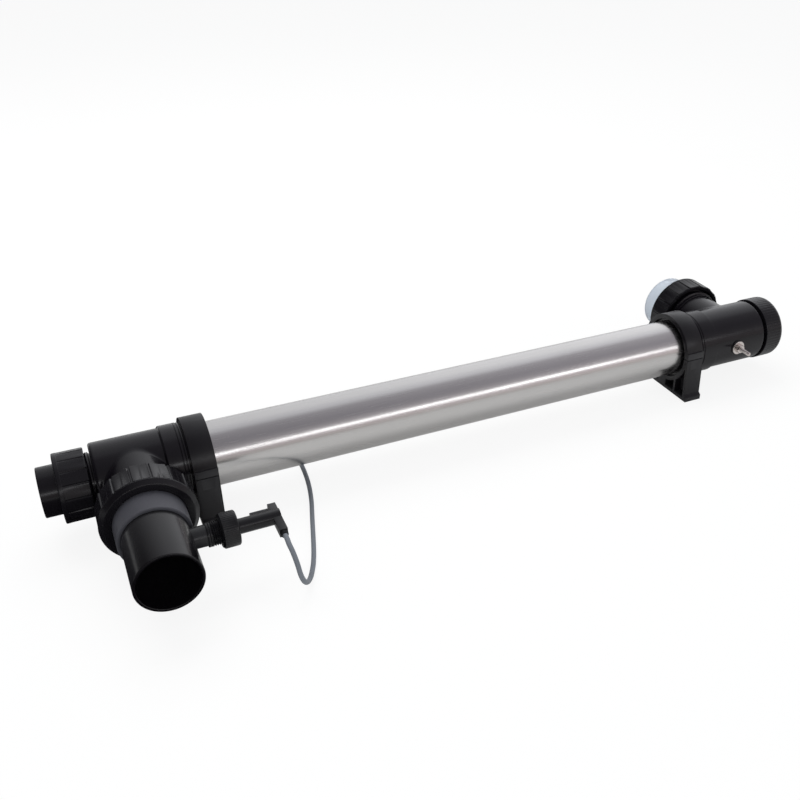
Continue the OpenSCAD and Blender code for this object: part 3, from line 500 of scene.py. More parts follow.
def crossing_body(name, run_line, run, branch_line, branch, blend):
    """Two crossing cylinders melted together: each is (radius, low, high, rim). The mesh is
    drawn onto the blended distance field, so the corner's fillet is as smooth as a moulding's."""
    def field(points):
        a = capped_distance(points, *run_line, *run)
        b = capped_distance(points, *branch_line, *branch)
        h = np.clip(0.5 + 0.5 * (b - a) / blend, 0, 1)
        return b + (a - b) * h - blend * h * (1 - h)
    parts = []
    for line, (radius, low, high, _) in ((run_line, run), (branch_line, branch)):
        ends = [(0, low), (radius, low), (radius, high), (0, high)]
        parts.append(turned(name + "_blank", ends, line, 96))
    data = parts[0].data
    shape = bmesh.new()
    for part in parts:
        shape.from_mesh(part.data)
    shape.to_mesh(data)
    shape.free()
    bpy.data.objects.remove(parts[1])
    piece = parts[0]
    piece.name = name
    remesh = piece.modifiers.new("remesh", "REMESH")
    remesh.mode = "VOXEL"
    remesh.voxel_size = 1.15 * MM
    applied(piece)
    flat = piece.data
    points = np.empty(len(flat.vertices) * 3)
    flat.vertices.foreach_get("co", points)
    points = points.reshape(-1, 3) / MM
    nudge = 0.02
    for _ in range(6):
        value = field(points)
        slope = np.stack([(field(points + nudge * axis) - field(points - nudge * axis))
                          / (2 * nudge) for axis in np.eye(3)], 1)
        points -= value[:, None] * slope / np.maximum((slope ** 2).sum(1), 0.2)[:, None]
    flat.vertices.foreach_set("co", (points * MM).ravel())
    flat.update()
    return piece


def bored(piece, *bores):
    """Cuts round bores, each (line, radius, low, high), out of a piece."""
    for line, radius, low, high in bores:
        ends = [(0, low), (radius, low), (radius, high), (0, high)]
        combined(piece, "DIFFERENCE", turned("cutter", ends, line, 120))


def joined(name, pieces):
    """Several shells of one moulding as one piece."""
    shape = bmesh.new()
    for piece in pieces:
        shape.from_mesh(piece.data)
        bpy.data.objects.remove(piece)
    data = bpy.data.meshes.new(name)
    shape.to_mesh(data)
    shape.free()
    crisp(data)
    return add_object(name, data)


run_radius = 38.6
branch_radius = 35.0
tube_bore = 35.15
socket_radius = 38.2
socket_floor = 20
collar_radius = 40.6
collar_start = clamp_width / 2 + 1.3
bore_radius = 33.0
branch_bore = 28.5
branch_face = 84.3
branch_thread = 41.2
branch_thread_start, branch_thread_stop = 66.5, 82.5


def tee_piece(name, end_line, branch_line, reach, collar_width, neck_outline, neck_thread,
              neck_bore):
    """One tee: the melted crossing, collared socket, outer neck and the branch's threaded neck."""
    collar_end = collar_start + collar_width
    body = crossing_body(name + "_body", end_line, (run_radius, collar_end - 4, reach, 3),
                         branch_line, (branch_radius, 0, 57, 0.8), 1.6)
    bored(body, (end_line, bore_radius, collar_end - 6, reach - 3),
          (end_line, neck_bore, 40, reach + 5), (branch_line, branch_bore, 10, 60))
    lip = collar_radius - 0.5
    first_groove = collar_radius - 1.5
    second_groove = collar_radius - 1.0
    inner = run_radius - 0.15
    socket = turned(name + "_socket", rounded([
        (tube_bore, -8, 0.3), (socket_radius, -8, 0.6), (socket_radius, collar_start, 0.25),
        (lip, collar_start, 0.5), (lip, collar_start + 1.9, 0.15),
        (first_groove, collar_start + 2.1, 0.15), (first_groove, collar_start + 2.7, 0.15),
        (collar_radius, collar_start + 2.9, 0.5), (collar_radius, collar_start + 5.2, 0.25),
        (second_groove, collar_start + 5.4, 0.15), (second_groove, collar_start + 6.0, 0.15),
        (collar_radius, collar_start + 6.2, 0.25), (collar_radius, collar_end - 1.6, 0.8),
        (inner, collar_end + 0.4, 0.6), (inner, collar_end + 2), (bore_radius, collar_end + 2),
        (bore_radius, socket_floor), (tube_bore, socket_floor)]), end_line, 192)
    neck = turned(name + "_neck", neck_outline, end_line, 144, neck_thread)
    branch_outline = rounded([
        (branch_bore, 52), (36.4, 52, 0.4), (36.4, 56.6, 0.3), (38.4, 57.4, 0.4),
        (38.4, 61, 0.4), (37.4, 61.6)], 3)[:-1]
    branch_outline += [(37.4, 61.6), (37.4, 65.5)]
    branch_outline += fine_stretch(branch_thread, branch_thread_start, branch_thread_stop, 0.45)
    branch_outline += rounded([
        (39.8, 83.2), (39.8, branch_face, 0.3), (branch_bore, branch_face, 0.3),
        (branch_bore, 70)])
    spigot = turned(name + "_spigot", branch_outline, branch_line, 144,
                    thread_carve(branch_thread_start, branch_thread_stop, 4, 1.2))
    return joined(name, [body, socket, neck, spigot])


inlet_reach, inlet_neck_bore, inlet_thread_stop = 103.0, 24.8, 128.6
outlet_reach, outlet_neck_bore, outlet_thread_stop = 119.9, 30.2, 140.5
inlet_neck = [(inlet_neck_bore, inlet_reach - 5), (28.4, inlet_reach - 5), (28.4, inlet_reach + 1)]
inlet_neck += fine_stretch(30.0, inlet_reach + 1.5, inlet_thread_stop, 0.45)
inlet_neck += [(28.8, 129.6), (inlet_neck_bore, 129.6)]
outlet_neck = [
    (outlet_neck_bore, outlet_reach - 5), (34.4, outlet_reach - 5), (34.4, outlet_reach + 3)]
outlet_neck += fine_stretch(35.4, outlet_reach + 3.5, outlet_thread_stop, 0.45)
outlet_neck += [(34.4, 144.4), (outlet_neck_bore, 144.4)]
inlet_piece = tee_piece(
    "inlet_tee_moulding", inlet_end, inlet_branch, inlet_reach, 21.8, inlet_neck,
    thread_carve(inlet_reach + 1.5, inlet_thread_stop, 3, 0.9), inlet_neck_bore)
outlet_piece = tee_piece(
    "outlet_tee_moulding", outlet_end, outlet_branch, outlet_reach, 28.0, outlet_neck,
    thread_carve(outlet_reach + 3.5, outlet_thread_stop, 3, 0.9), outlet_neck_bore)
boss_outline = rounded([(0, 34), (10, 34), (10, 39.4, 0.5), (0, 39.4)])
earth_line = level_line(outlet_x, 0, (0, -1, 0))
boss = turned("earth_boss", boss_outline, earth_line, 72)
outlet_piece = joined("outlet_tee_moulding", [outlet_piece, boss])
place_piece(inlet_piece, "housing", "black_pvc", black_pvc, "inlet_tee")
place_piece(outlet_piece, "housing", "black_pvc", black_pvc, "outlet_tee")


# ---------------------------------------- clamps
# Glass-filled nylon pipe clamps, screwed down through their feet. The lower half carries the
# tube; the upper half swings on a steel pin at the back and meets the plain front wall.

clamp_plastic = moulded("clamp_nylon", (0.0058, 0.0050, 0.0066), (0.0090, 0.0080, 0.0104),
                        0.30, 0.40, 0.012, 2200.0, 0.08, 0.18)


def block(name, section, x_low, x_high):
    """A prism along X with a section of (y, z) millimetres."""
    count = len(section)
    vertices = [(x, y * MM, z * MM) for x in (x_low, x_high) for y, z in section]
    faces = [tuple(range(count)), tuple(range(count, 2 * count))]
    faces += [(k, (k + 1) % count, (k + 1) % count + count, k + count) for k in range(count)]
    return mesh_piece(name, vertices, faces)


def softened(name, node, width, changes=()):
    """A copy of a CAD node with its edges rounded, as a mould leaves them. Each change is
    (operation, block), made before the rounding."""
    shape = bmesh.new()
    shape.from_mesh(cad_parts[node].data)
    bmesh.ops.remove_doubles(shape, verts=shape.verts, dist=1e-5)
    data = bpy.data.meshes.new(name)
    shape.to_mesh(data)
    shape.free()
    piece = add_object(name, data)
    for operation, other in changes:
        combined(piece, operation, other)
    shape = bmesh.new()
    shape.from_mesh(piece.data)
    bmesh.ops.remove_doubles(shape, verts=shape.verts, dist=1e-5)
    bmesh.ops.dissolve_limit(
        shape, angle_limit=math.radians(1.5), verts=shape.verts, edges=shape.edges)
    shape.to_mesh(piece.data)
    shape.free()
    bevel = piece.modifiers.new("bevel", "BEVEL")
    bevel.width = width * MM
    bevel.segments = 3
    bevel.limit_method = "ANGLE"
    bevel.angle_limit = math.radians(35)
    applied(piece)
    crisp(piece.data)
    return piece


split_height = axis_height / MM + 1.5
wall_top, wall_back, wall_low = -45.9, -40.5, 40
wall_lean = 2 * (split_height - wall_low) / (split_height - 9)
latch_half = 6.6 * MM
ring_half = 13 * MM
for side, x in (("inlet", -clamp_x), ("outlet", clamp_x)):
    front_wall = block("front_wall", [
        (wall_top, split_height - 0.6), (wall_top - wall_lean, wall_low), (wall_back, wall_low),
        (wall_back, split_height - 0.6)], x - latch_half, x + latch_half)
    lower = softened(side + "_clamp_lower", side + "_clamp_saddle", 0.7, [("UNION", front_wall)])
    place_piece(lower, "housing", "clamp_plastic", clamp_plastic, side + "_clamp_saddle")
    below = block("below", [
        (-60, 20), (-35, 20), (-35, split_height + 0.5), (-60, split_height + 0.5)],
        x - ring_half, x + ring_half)
    upper = softened(side + "_clamp_upper", side + "_clamp_bow", 0.7, [("DIFFERENCE", below)])
    place_piece(upper, side + "_bow", "clamp_plastic", clamp_plastic, side + "_clamp_bow")


# ---------------------------------------- union nuts and ring nut
# Moulded nuts with wide gripping panels between narrow grooves and a smooth rim. Every panel
# is the same, so one panel's wedge is modelled and repeated round the axis.


def round_repeat_tree():
    """Geometry nodes: repeats a wedge round an axis and welds the copies into one shell."""
    tree = bpy.data.node_groups.new("repeat_round_axis", "GeometryNodeTree")
    for name, kind in (
            ("Wedge", "NodeSocketGeometry"), ("Count", "NodeSocketInt"),
            ("Centre", "NodeSocketVector"), ("Axis", "NodeSocketVector"),
            ("Weld", "NodeSocketFloat"), ("Finish", "NodeSocketMaterial")):
        tree.interface.new_socket(name=name, in_out="INPUT", socket_type=kind)
    tree.interface.new_socket(name="Ring", in_out="OUTPUT", socket_type="NodeSocketGeometry")
    nodes, links = tree.nodes, tree.links
    entry, result = nodes.new("NodeGroupInput"), nodes.new("NodeGroupOutput")
    minus = nodes.new("ShaderNodeVectorMath")
    minus.operation = "SCALE"
    minus.inputs["Scale"].default_value = -1
    links.new(entry.outputs["Centre"], minus.inputs[0])
    shift = nodes.new("GeometryNodeTransform")
    links.new(entry.outputs["Wedge"], shift.inputs["Geometry"])
    links.new(minus.outputs["Vector"], shift.inputs["Translation"])
    spots = nodes.new("GeometryNodeMeshLine")
    spots.inputs["Offset"].default_value = (0, 0, 0)
    links.new(entry.outputs["Count"], spots.inputs["Count"])
    links.new(entry.outputs["Centre"], spots.inputs["Start Location"])
    index = nodes.new("GeometryNodeInputIndex")
    step = calculate(nodes, links, "DIVIDE", 2 * math.pi, entry.outputs["Count"])
    angle = calculate(nodes, links, "MULTIPLY", index.outputs["Index"], step)
    turn = nodes.new("FunctionNodeAxisAngleToRotation")
    links.new(entry.outputs["Axis"], turn.inputs["Axis"])
    links.new(angle, turn.inputs["Angle"])
    copies = nodes.new("GeometryNodeInstanceOnPoints")
    links.new(spots.outputs["Mesh"], copies.inputs["Points"])
    links.new(shift.outputs["Geometry"], copies.inputs["Instance"])
    links.new(turn.outputs["Rotation"], copies.inputs["Rotation"])
    real = nodes.new("GeometryNodeRealizeInstances")
    links.new(copies.outputs["Instances"], real.inputs["Geometry"])
    weld = nodes.new("GeometryNodeMergeByDistance")
    links.new(real.outputs["Geometry"], weld.inputs["Geometry"])
    links.new(entry.outputs["Weld"], weld.inputs["Distance"])
    coat = nodes.new("GeometryNodeSetMaterial")
    links.new(weld.outputs["Geometry"], coat.inputs["Geometry"])
    links.new(entry.outputs["Finish"], coat.inputs["Material"])
    links.new(coat.outputs["Geometry"], result.inputs["Ring"])
    return tree


round_repeat = round_repeat_tree()


def repeated_round(wedge, line, count, material):
    """Repeats a wedge about its line and keeps the result as a plain mesh."""
    maker = wedge.modifiers.new("repeat", "NODES")
    maker.node_group = round_repeat
    values = {"Count": count, "Centre": line[0], "Axis": line[1], "Weld": 4e-6,
              "Finish": material}
    for item in round_repeat.interface.items_tree:
        if item.in_out == "INPUT" and item.name in values:
            maker[item.identifier] = values[item.name]
    bpy.context.view_layer.update()
    applied(wedge)
    crisp(wedge.data)
    return wedge


def grip_nut(name, outline, line, count, groove, depth, low, high, smooth_radius, material,
             flat=0.0):
    """A nut with count panels: grooves of that width and depth between low and high, on radii
    above smooth_radius. flat is how far the panels go from round (0) to a true polygon (1)."""
    half = math.pi / count
    outer = max(point[0] for point in outline)
    groove_half = groove / 2 / outer
    lip = 0.45 * groove_half
    edge = half - groove_half
    corners = [0, edge - 3 * lip, edge - lip, edge, edge + lip, half - 0.4 * groove_half, half]
    corners += list(np.linspace(0, edge - 3 * lip, 5)[1:-1])
    angles = sorted(set(corners + [-a for a in corners]))

    def carve(radius, along, angle):
        if radius <= smooth_radius:
            return radius
        cut = max(0.0, min(1.0, (abs(angle) - (edge - lip)) / (2 * lip)))
        cut = cut * cut * (3 - 2 * cut)
        ends = max(0.0, min(1.0, (along - low) / 0.6, (high - along) / 1.2))
        across = math.cos(math.pi * angle / (2 * half)) ** 2
        panel = flat * outer * (1 - math.cos(half)) * across
        return radius - (depth * cut + panel) * ends
    wedge = turned(name, outline, line, carve=carve, wedge=angles)
    return repeated_round(wedge, line, count, material)


nut_plastic = moulded("nut_plastic", (0.0062, 0.0054, 0.0072), (0.0085, 0.0075, 0.0102),
                      0.20, 0.29, 0.008, 2000.0, 0.08, 0.14)
union_low, union_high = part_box("inlet_union_nut")
union_radius = (union_high.z - union_low.z) / 2 / MM
union_start, union_stop = 60.0, 93.0
union_bore = 41.55


def union_outline(lip_radius):
    """Section of a union nut: bore, panelled wall, rim and the lip that catches the flange."""
    wall = union_radius - 0.2
    step = union_radius - 0.6
    lip_bore = lip_radius + 0.3
    return rounded([
        (union_bore, union_start, 0.4), (union_radius - 1.2, union_start, 0.5),
        (wall, union_start + 1.4, 0.6), (wall, union_stop - 6.0, 0.4),
        (step, union_stop - 5.4, 0.3), (step, union_stop - 4.8, 0.3),
        (union_radius, union_stop - 4.2, 0.5), (union_radius - 4.6, union_stop, 1.6),
        (lip_bore, union_stop, 0.6), (lip_bore, union_stop - 4, 0.2),
        (union_bore, union_stop - 4, 0.2)])


for side, line, lip in (("inlet", inlet_branch, 34.8), ("outlet", outlet_branch, 35.9)):
    nut = grip_nut(side + "_union_ring", union_outline(lip), line, 16, 2.2, 1.5,
                   union_start - 0.5, union_stop - 5.6, 44.0, nut_plastic, 1.0)
    place_piece(nut, side + "_nut", "nut_plastic", nut_plastic, side + "_union_nut")

ring_low, ring_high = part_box("ring_nut")
ring_radius = (ring_high.z - ring_low.z) / 2 / MM
ring_start = (-clamp_x - ring_high.x) / MM
ring_stop = (-clamp_x - ring_low.x) / MM
plug_radius = 25.8
ring_bore = 30.5
ring_outline = rounded([
    (ring_bore, ring_start, 0.3), (ring_radius - 0.9, ring_start, 0.5),
    (ring_radius - 0.15, ring_start + 1.1, 0.5), (ring_radius - 0.15, ring_stop - 4.6, 0.3),
    (ring_radius, ring_stop - 4.2, 0.3), (ring_radius, ring_stop, 1.2),
    (plug_radius + 0.3, ring_stop, 0.5), (plug_radius + 0.3, ring_stop - 4, 0.2),
    (ring_bore, ring_stop - 4, 0.2)])
ring_piece = grip_nut("plug_ring", ring_outline, inlet_end, 16, 1.8, 1.2,
                      ring_start - 0.5, ring_stop - 4.8, 33.0, nut_plastic, 1.0)
place_piece(ring_piece, "plug_nut", "nut_plastic", nut_plastic, "ring_nut")


# ---------------------------------------- blanking plug
# A closed stub of black PVC that blanks the inlet tee's outer end.

plug_low, plug_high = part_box("blanking_plug")
plug_stop = (-clamp_x - plug_low.x) / MM
plug_start = (-clamp_x - plug_high.x) / MM
plug_flange = plug_radius + 2.9
plug_bore = plug_radius - 3.5
plug_outline = rounded([
    (0, plug_start), (plug_flange, plug_start, 0.3), (plug_flange, plug_start + 4, 0.3),
    (plug_radius, plug_start + 4, 0.4), (plug_radius, plug_stop, 0.9),
    (plug_bore, plug_stop, 0.9), (plug_bore, plug_start + 5, 1.5), (0, plug_start + 5)])
place_piece(turned("plug_stub", plug_outline, inlet_end, 144),
            "plug", "black_pvc", black_pvc, "blanking_plug")


# ---------------------------------------- end cap
# The ribbed screw cap over the lamp's base, with a rounded outer edge.

cap_low, cap_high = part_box("end_cap")
cap_start = (cap_low.x - clamp_x) / MM
cap_stop = (cap_high.x - clamp_x) / MM
cap_radius = (cap_high.z - cap_low.z) / 2 / MM
cap_outline = rounded([
    (35.9, cap_start, 0.3), (cap_radius, cap_start, 0.6), (cap_radius, cap_stop, 7.5),
    (6.0, cap_stop, 0.3), (6.0, cap_stop - 4), (35.9, cap_stop - 4, 0.5)], 6)
cap_piece = grip_nut("ribbed_cap", cap_outline, outlet_end, 60, 1.0, 0.38,
                     cap_start + 1.2, cap_stop - 6.0, 38.0, nut_plastic)
place_piece(cap_piece, "cap", "black_pvc", nut_plastic, "end_cap")


# ---------------------------------------- inlet pipe and tailpiece
# A length of 63 mm pond pipe, glued into a flanged tailpiece of grey-black PVC with a satin finish;
# the tailpiece's grey is painted lighter than its own tone, a painted reflection.

pipe_material = moulded("extruded_pipe", (0.0035, 0.0028, 0.0038), (0.0055, 0.0046, 0.0062),
                        0.18, 0.26, 0.004, 900.0, 0.10, 0.22)
# The tailpiece's light grey is partly its own satin grey-black tone and partly painted reflection.
tail_tone_and_painted_reflection = moulded("satin_tailpiece_and_painted_reflection", (0.066, 0.066, 0.078), (0.088, 0.088, 0.102),
                        0.40, 0.52, 0.02, 2200.0, 0.18, 0.30, (0.16, 0.16, 0.165))
pipe_radius = 31.5
pipe_wall = 3.0
pipe_stop = -inlet_low.y / MM
tail_stop = -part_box("inlet_tailpiece")[0].y / MM
flange_start = 84.4
flange_back = flange_start + 4.5
flange_radius = 40.0
pipe_start = 90.4
switch_low, switch_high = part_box("switch_nut")
switch_y = (switch_low.y + switch_high.y) / 2
switch_line = level_line(inlet_x, switch_y, (1, 0, 0))
pipe_outline = rounded([
    (pipe_radius - pipe_wall, pipe_start), (pipe_radius, pipe_start), (pipe_radius, pipe_stop, 0.9),
    (pipe_radius - pipe_wall, pipe_stop, 0.9)])
pipe_piece = turned("pond_pipe", pipe_outline, inlet_branch, 160)
bored(pipe_piece, (switch_line, 10.3, 15, 45))
crisp(pipe_piece.data)
place_piece(pipe_piece, "inlet_pipework", "pipe_black", pipe_material, "inlet_pipe")
tail_outline = rounded([
    (branch_bore, flange_start, 0.3), (flange_radius, flange_start, 0.4),
    (flange_radius, flange_back, 0.4), (34.8, flange_back, 0.4), (34.8, tail_stop, 1.4),
    (31.55, tail_stop, 0.4), (31.55, pipe_start - 0.05), (branch_bore, pipe_start - 0.05)], 5)
place_piece(turned("pipe_tailpiece", tail_outline, inlet_branch, 160),
            "inlet_pipework", "tail_grey", tail_tone_and_painted_reflection, "inlet_tailpiece")


# ---------------------------------------- clear outlet tailpiece
# The outlet's flanged sleeve, moulded in clear PVC: the lamp's glow in it shows that it burns.


def glassy(name, tint_a, tint_b, rough_low, rough_high, clear=0.95, bend=1.46, scale=30):
    """Glass or clear plastic with a faint unevenness; bend is its refractive index."""
    material, nodes, links, shader = new_material(name)
    set_inputs(shader, Transmission_Weight=clear, IOR=bend)
    haze = add_noise(nodes, links, scale, 3, 0.5).outputs["Fac"]
    links.new(mix_colour(nodes, links, haze, tint_a, tint_b), shader.inputs["Base Color"])
    links.new(map_range(nodes, links, haze, to_low=rough_low, to_high=rough_high),
              shader.inputs["Roughness"])
    return material


clear_pvc = glassy("clear_pvc", (0.74, 0.81, 0.90), (0.80, 0.86, 0.93), 0.30, 0.42,
                   0.55, 1.5, 22)
clear_stop = clear_high.y / MM
clear_radius = 35.9
socket_depth = 27
clear_outline = rounded([
    (branch_bore, flange_start, 0.3), (flange_radius, flange_start, 0.4),
    (flange_radius, flange_back, 0.4), (clear_radius, flange_back, 0.4),
    (clear_radius, clear_stop, 1.0), (31.65, clear_stop, 0.6),
    (31.65, clear_stop - socket_depth, 0.2), (branch_bore, clear_stop - socket_depth, 0.2)], 5)
place_piece(turned("clear_tailpiece", clear_outline, outlet_branch, 160),
            "outlet_pipework", "clear_pvc", clear_pvc, "outlet_tailpiece")


# ---------------------------------------- earth bond
# A stainless stud through the tee's wall, 6 mm and stepping down to 5 mm at its free end, with
# a wide washer and a hexagon nut, for the tube's earth lead.

bolt_steel = brushed_steel("bolt_steel", (0.66, 0.60, 0.57), (0.74, 0.69, 0.66),
                           0.20, 0.34, (1.0, 0.15, 1.0), 1600, 0.004)
washer_outline = rounded([(3.2, 39.4, 0.2), (9, 39.4, 0.3), (9, 41, 0.3), (3.2, 41, 0.2)], 3)
washer = turned("bond_washer", washer_outline, earth_line, 72)
place_piece(washer, "housing", "fastener_steel", bolt_steel, "earth_washer")
stud_step = 46.7
stud_top = 62.2
stud_outline = [(0, 29), (5.5, 29), (5.5, 31.9), (3, 31.9), (3, 46.5)]
stud_outline += fine_stretch(2.5, stud_step, 61.4, 0.2) + [(1.6, stud_top), (0, stud_top)]
stud = turned("bond_stud", stud_outline, earth_line, 48,
              thread_carve(stud_step, stud_top, 0.8, 0.35), sharp=50)
place_piece(stud, "housing", "fastener_steel", bolt_steel, "earth_stud")
flats = 10.0


def hexagon_carve(radius, along, angle):
    """Turns a round blank into a chamfered hexagon."""
    if radius < 4:
        return radius
    corner = flats / 2 / math.cos((angle + math.pi / 6) % (math.pi / 3) - math.pi / 6)
    return min(radius, corner)


nut_outline = [(3.05, 41.0), (5.1, 41.0), (5.8, 41.45), (5.8, 45.55), (5.1, 46.0), (3.05, 46.0)]
place_piece(turned("bond_nut", nut_outline, earth_line, 96, hexagon_carve),
            "housing", "fastener_steel", bolt_steel, "earth_nut")


# ---------------------------------------- flow switch
# A lift-out paddle switch: a threaded nipple on the pipe, a knurled nut, a slim barrel with a fin,
# and a cross arm from which the signal cable leaves.

switch_plastic = moulded("switch_abs", (0.0052, 0.0050, 0.0062), (0.0080, 0.0078, 0.0094),
                         0.22, 0.34, 0.010, 3000.0, 0.08, 0.18)
nipple_radius = 10.25
nipple_outline = [(7.85, 29.4), (nipple_radius, 29.4)]
nipple_outline += rounded([
    (nipple_radius, 43.2, 0.3), (12.0, 43.4, 0.4), (12.0, 45.6, 0.4), (11.0, 45.8, 0.2)], 3)
nipple_outline += fine_stretch(12.2, 46.4, 60.8, 0.25) + [(11.2, 61.5), (7.85, 61.5)]
nipple = turned("switch_spigot", nipple_outline, switch_line, 96,
                thread_carve(46.4, 61.0, 2.0, 1.1), sharp=45)
place_piece(nipple, "inlet_pipework", "pipe_black", switch_plastic, "switch_nipple")

knurl_start = (switch_low.x - inlet_x) / MM
knurl_stop = (switch_high.x - inlet_x) / MM
knurl_radius = (switch_high.z - switch_low.z) / 2 / MM
knurl_outline = rounded([
    (12.6, knurl_start, 0.3), (knurl_radius - 2, knurl_start, 0.3),
    (knurl_radius, knurl_start + 2, 0.6), (knurl_radius, knurl_stop, 2.0),
    (7.8, knurl_stop, 0.4), (7.8, knurl_stop - 3), (12.6, knurl_stop - 3)])
knurled = grip_nut("knurled_ring", knurl_outline, switch_line, 48, 0.95, 0.42,
                   knurl_start + 1.8, knurl_stop - 2.4, 15.6, switch_plastic)
place_piece(knurled, "flow_nut", "switch_plastic", switch_plastic, "switch_nut")
place_piece(softened("switch_shell", "switch_body", 0.45),
            "flow_switch", "switch_plastic", switch_plastic, "switch_body")
rubber = moulded("black_rubber", (0.008, 0.008, 0.009), (0.014, 0.014, 0.015), 0.60, 0.75,
                 0.02, 3000.0, 0.1, 0.1)
grommet_line = (Vector((cable_exit.x, grommet_high.y, cable_exit.z)), Vector((0, -1, 0)))
grommet_outline = rounded([
    (2.55, 0), (3.9, 0, 0.2), (3.9, 1.2, 0.2), (3.5, 1.4, 0.1), (3.8, 1.7, 0.2),
    (3.5, 4, 0.5), (2.55, 4, 0.2)], 3)
place_piece(turned("cable_boot", grommet_outline, grommet_line, 48),
            "flow_switch", "black_rubber", rubber, "cable_grommet")
paint(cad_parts["paddle"], switch_plastic)


# ---------------------------------------- lamp, sleeve, seals and small parts
# What the tube and tees hold: the quartz sleeve with its spider, bush and gland nut, the lamp
# with its ceramic ends, and the rubber seals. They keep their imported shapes.

quartz = glassy("quartz_glass", (0.90, 0.94, 0.98), (0.95, 0.97, 1.0), 0.02, 0.05)
lamp_glass = glassy("lamp_glass", (0.88, 0.92, 0.97), (0.94, 0.96, 1.0), 0.04, 0.1)
ceramic = moulded("ceramic_ends", (0.74, 0.71, 0.63), (0.82, 0.79, 0.72), 0.45, 0.6,
                  0.02, 1500.0, 0.1, 0.1, (0.6, 0.57, 0.5))
white_plastic = moulded("white_spider", (0.72, 0.72, 0.70), (0.80, 0.80, 0.79), 0.40, 0.55,
                        0.02, 1500.0, 0.1, 0.1, (0.6, 0.6, 0.58))
board_green = moulded("board_lacquer", (0.02, 0.16, 0.07), (0.03, 0.22, 0.10), 0.25, 0.4,
                      0.01, 2500.0, 0.1, 0.2, (0.3, 0.3, 0.2))
contact_metal = brushed_steel("contact_brass", (0.72, 0.53, 0.24), (0.78, 0.60, 0.32),
                              0.22, 0.35, (0.2, 1.0, 1.0), 1500, 0.003)
for material, small_parts in (
        (rubber, ("inlet_tube_seal", "outlet_tube_seal", "sleeve_seal", "cap_seal",
                  "inlet_union_seal", "outlet_union_seal", "plug_seal", "switch_gasket")),
        (bolt_steel, ("inlet_bow_pin", "outlet_bow_pin", "earth_strip", "paddle_pin",
                      "paddle_magnet")),
        (quartz, ("quartz_sleeve", "reed_capsule")), (lamp_glass, ("lamp_tube",)),
        (ceramic, ("lamp_ends", "lamp_holder")), (white_plastic, ("sleeve_guide",)),
        (board_green, ("switch_board",)),
        (contact_metal, ("lamp_return_wire", "lamp_pins", "connector_pins")),
        (black_pvc, ("sleeve_bush", "sleeve_gland_nut")),
        (switch_plastic, ("cable_gland_body", "cable_gland_nut"))):
    for node in small_parts:
        paint(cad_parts[node], material)


# ---------------------------------------- floor and light
# A white floor and sky, a dim room that only mirrors show, a large softbox over the back and a
# long low window in front. A black card, seen only in reflections, lies under the inlet; its black
# is painted shade, a painted dark reflection in the inlet's black parts.


def background_rays(nodes, links):
    """The light path, and 1 for rays straight from the camera or through glass."""
    path = nodes.new("ShaderNodeLightPath")
    return path, calculate(nodes, links, "MAXIMUM", path.outputs["Is Camera Ray"],
                           path.outputs["Is Transmission Ray"])


def mix_shaders(nodes, links, factor, first, second):
    """Mixes two shader nodes by a factor socket."""
    mix = nodes.new("ShaderNodeMixShader")
    links.new(factor, mix.inputs["Fac"])
    links.new(first.outputs[0], mix.inputs[1])
    links.new(second.outputs[0], mix.inputs[2])
    return mix


def flat_stage(name, x_low, x_high, y_low, y_high, z, material):
    """A flat rectangle that is part of the studio and not of the object."""
    data = bpy.data.meshes.new(name)
    corners = [(x_low, y_low, z), (x_high, y_low, z), (x_high, y_high, z), (x_low, y_high, z)]
    data.from_pydata(corners, [], [(0, 1, 2, 3)])
    data.materials.append(material)
    sheet = add_object(name, data)
    return sheet


floor_half = 6.0
floor_material, nodes, links, shader = new_material("white_floor")
set_inputs(shader, Base_Color=(0.86, 0.86, 0.85, 1), Roughness=0.8, Specular_IOR_Level=0.1)
path, seen = background_rays(nodes, links)
glow = set_inputs(nodes.new("ShaderNodeEmission"), Color=(1.0, 1.0, 1.0, 1), Strength=1.09)
direct_share = calculate(nodes, links, "MULTIPLY", seen, 0.80)
glow_share = calculate(nodes, links, "MULTIPLY_ADD", path.outputs["Is Glossy Ray"], 0.12,
                       direct_share)
blend = mix_shaders(nodes, links, glow_share, shader, glow)
links.new(blend.outputs[0], nodes["Material Output"].inputs["Surface"])
flat_stage("floor", -floor_half, floor_half, -floor_half, floor_half, -0.0003, floor_material)


def set_ramp(ramp, stops):
    """Sets a colour ramp's stops, each (place, colour)."""
    while len(ramp.elements) < len(stops):
        ramp.elements.new(0.5)
    for element, (place, colour) in zip(ramp.elements, stops):
        element.position = place
        element.color = (*colour, 1)


world = bpy.data.worlds.new("studio")
scene.world = world
world.use_nodes = True
nodes, links = world.node_tree.nodes, world.node_tree.links
direction = nodes.new("ShaderNodeTexCoord")
split = nodes.new("ShaderNodeSeparateXYZ")
links.new(direction.outputs["Generated"], split.inputs["Vector"])
front = calculate(nodes, links, "MULTIPLY", split.outputs["Y"], -1)
height = calculate(nodes, links, "ARCTAN2", split.outputs["Z"], front)
turn_share = calculate(nodes, links, "DIVIDE", height, math.pi)
room = nodes.new("ShaderNodeValToRGB")
room.color_ramp.interpolation = "EASE"
set_ramp(room.color_ramp, [
    (0.0, (0.44, 0.42, 0.40)), (0.06, (0.52, 0.46, 0.47)), (0.16, (0.38, 0.36, 0.38)),
    (0.32, (0.29, 0.28, 0.31)), (0.50, (0.36, 0.35, 0.38)), (0.62, (0.72, 0.73, 0.77)),
    (0.75, (0.86, 0.87, 0.90))])
links.new(turn_share, room.inputs["Fac"])
path, seen = background_rays(nodes, links)
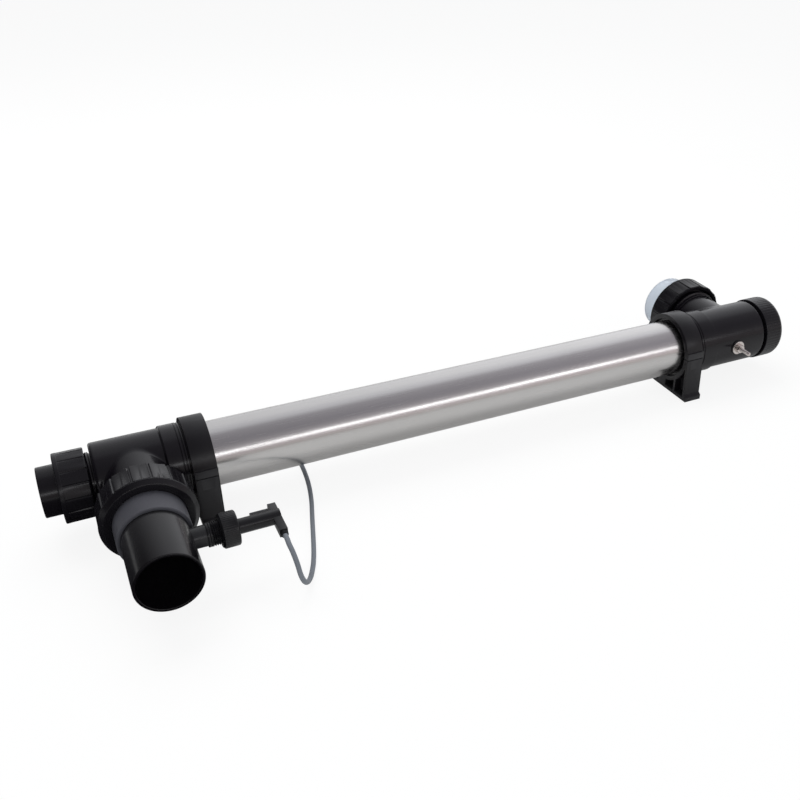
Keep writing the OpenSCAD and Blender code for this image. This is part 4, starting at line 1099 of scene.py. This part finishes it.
ambient = set_inputs(
    nodes.new("ShaderNodeBackground"), Color=(0.95, 0.97, 1.0, 1), Strength=0.45)
mirrored = set_inputs(nodes.new("ShaderNodeBackground"), Strength=1.25)
across = map_range(nodes, links, split.outputs["X"], -0.5, 0.6)
shade = nodes.new("ShaderNodeValToRGB")
set_ramp(shade.color_ramp, [
    (place, (level,) * 3)
    for place, level in ((0.0, 0.08), (0.45, 0.60), (0.60, 0.77), (1.0, 1.0))])
links.new(across, shade.inputs["Fac"])
dimmed = mix_colour(nodes, links, 1.0, room.outputs["Color"], shade.outputs["Color"], "MULTIPLY")
links.new(dimmed, mirrored.inputs["Color"])
white = set_inputs(nodes.new("ShaderNodeBackground"), Color=(1, 1, 1, 1))
unseen = mix_shaders(nodes, links, path.outputs["Is Glossy Ray"], ambient, mirrored)
sky = mix_shaders(nodes, links, seen, unseen, white)
output = next(n for n in nodes if n.type == "OUTPUT_WORLD")
links.new(sky.outputs[0], output.inputs["Surface"])


def add_softbox(name, place, aim, width, height, power, colour):
    """A rectangular area lamp that faces a point."""
    lamp = bpy.data.lights.new(name, "AREA")
    lamp.shape = "RECTANGLE"
    lamp.size = width
    lamp.size_y = height
    lamp.energy = power
    lamp.color = colour
    box = add_object(name, lamp)
    box.location = place
    box.rotation_euler = (Vector(aim) - Vector(place)).to_track_quat("-Z", "Y").to_euler()
    return box


# Painted shade: this black card is lit by nothing and casts no shadow. It only darkens what the
# inlet's glossy parts mirror.
dark_reflection_black, nodes, links, shader = new_material("dark_reflection_black")
set_inputs(shader, Base_Color=(0.03, 0.03, 0.035, 1), Roughness=0.9)
card = flat_stage("inlet_dark_reflection_card", -0.85, -0.325, -0.5, 0.35, -0.0002, dark_reflection_black)
for ray in ("camera", "diffuse", "transmission", "volume_scatter", "shadow"):
    setattr(card, "visible_" + ray, False)
back_softbox = add_softbox(
    "back_softbox", (-0.2, 1.1, 1.9), (0, 0, 0.05), 2.4, 1.4, 22, (1.0, 1.0, 1.0))
back_softbox.visible_glossy = False
add_softbox("front_window", (0.2, -2.2, 1.0), (0.0, 0, 0.06), 3.6, 0.26, 9, (0.97, 0.98, 1.0))

scene.view_settings.view_transform = "Standard"
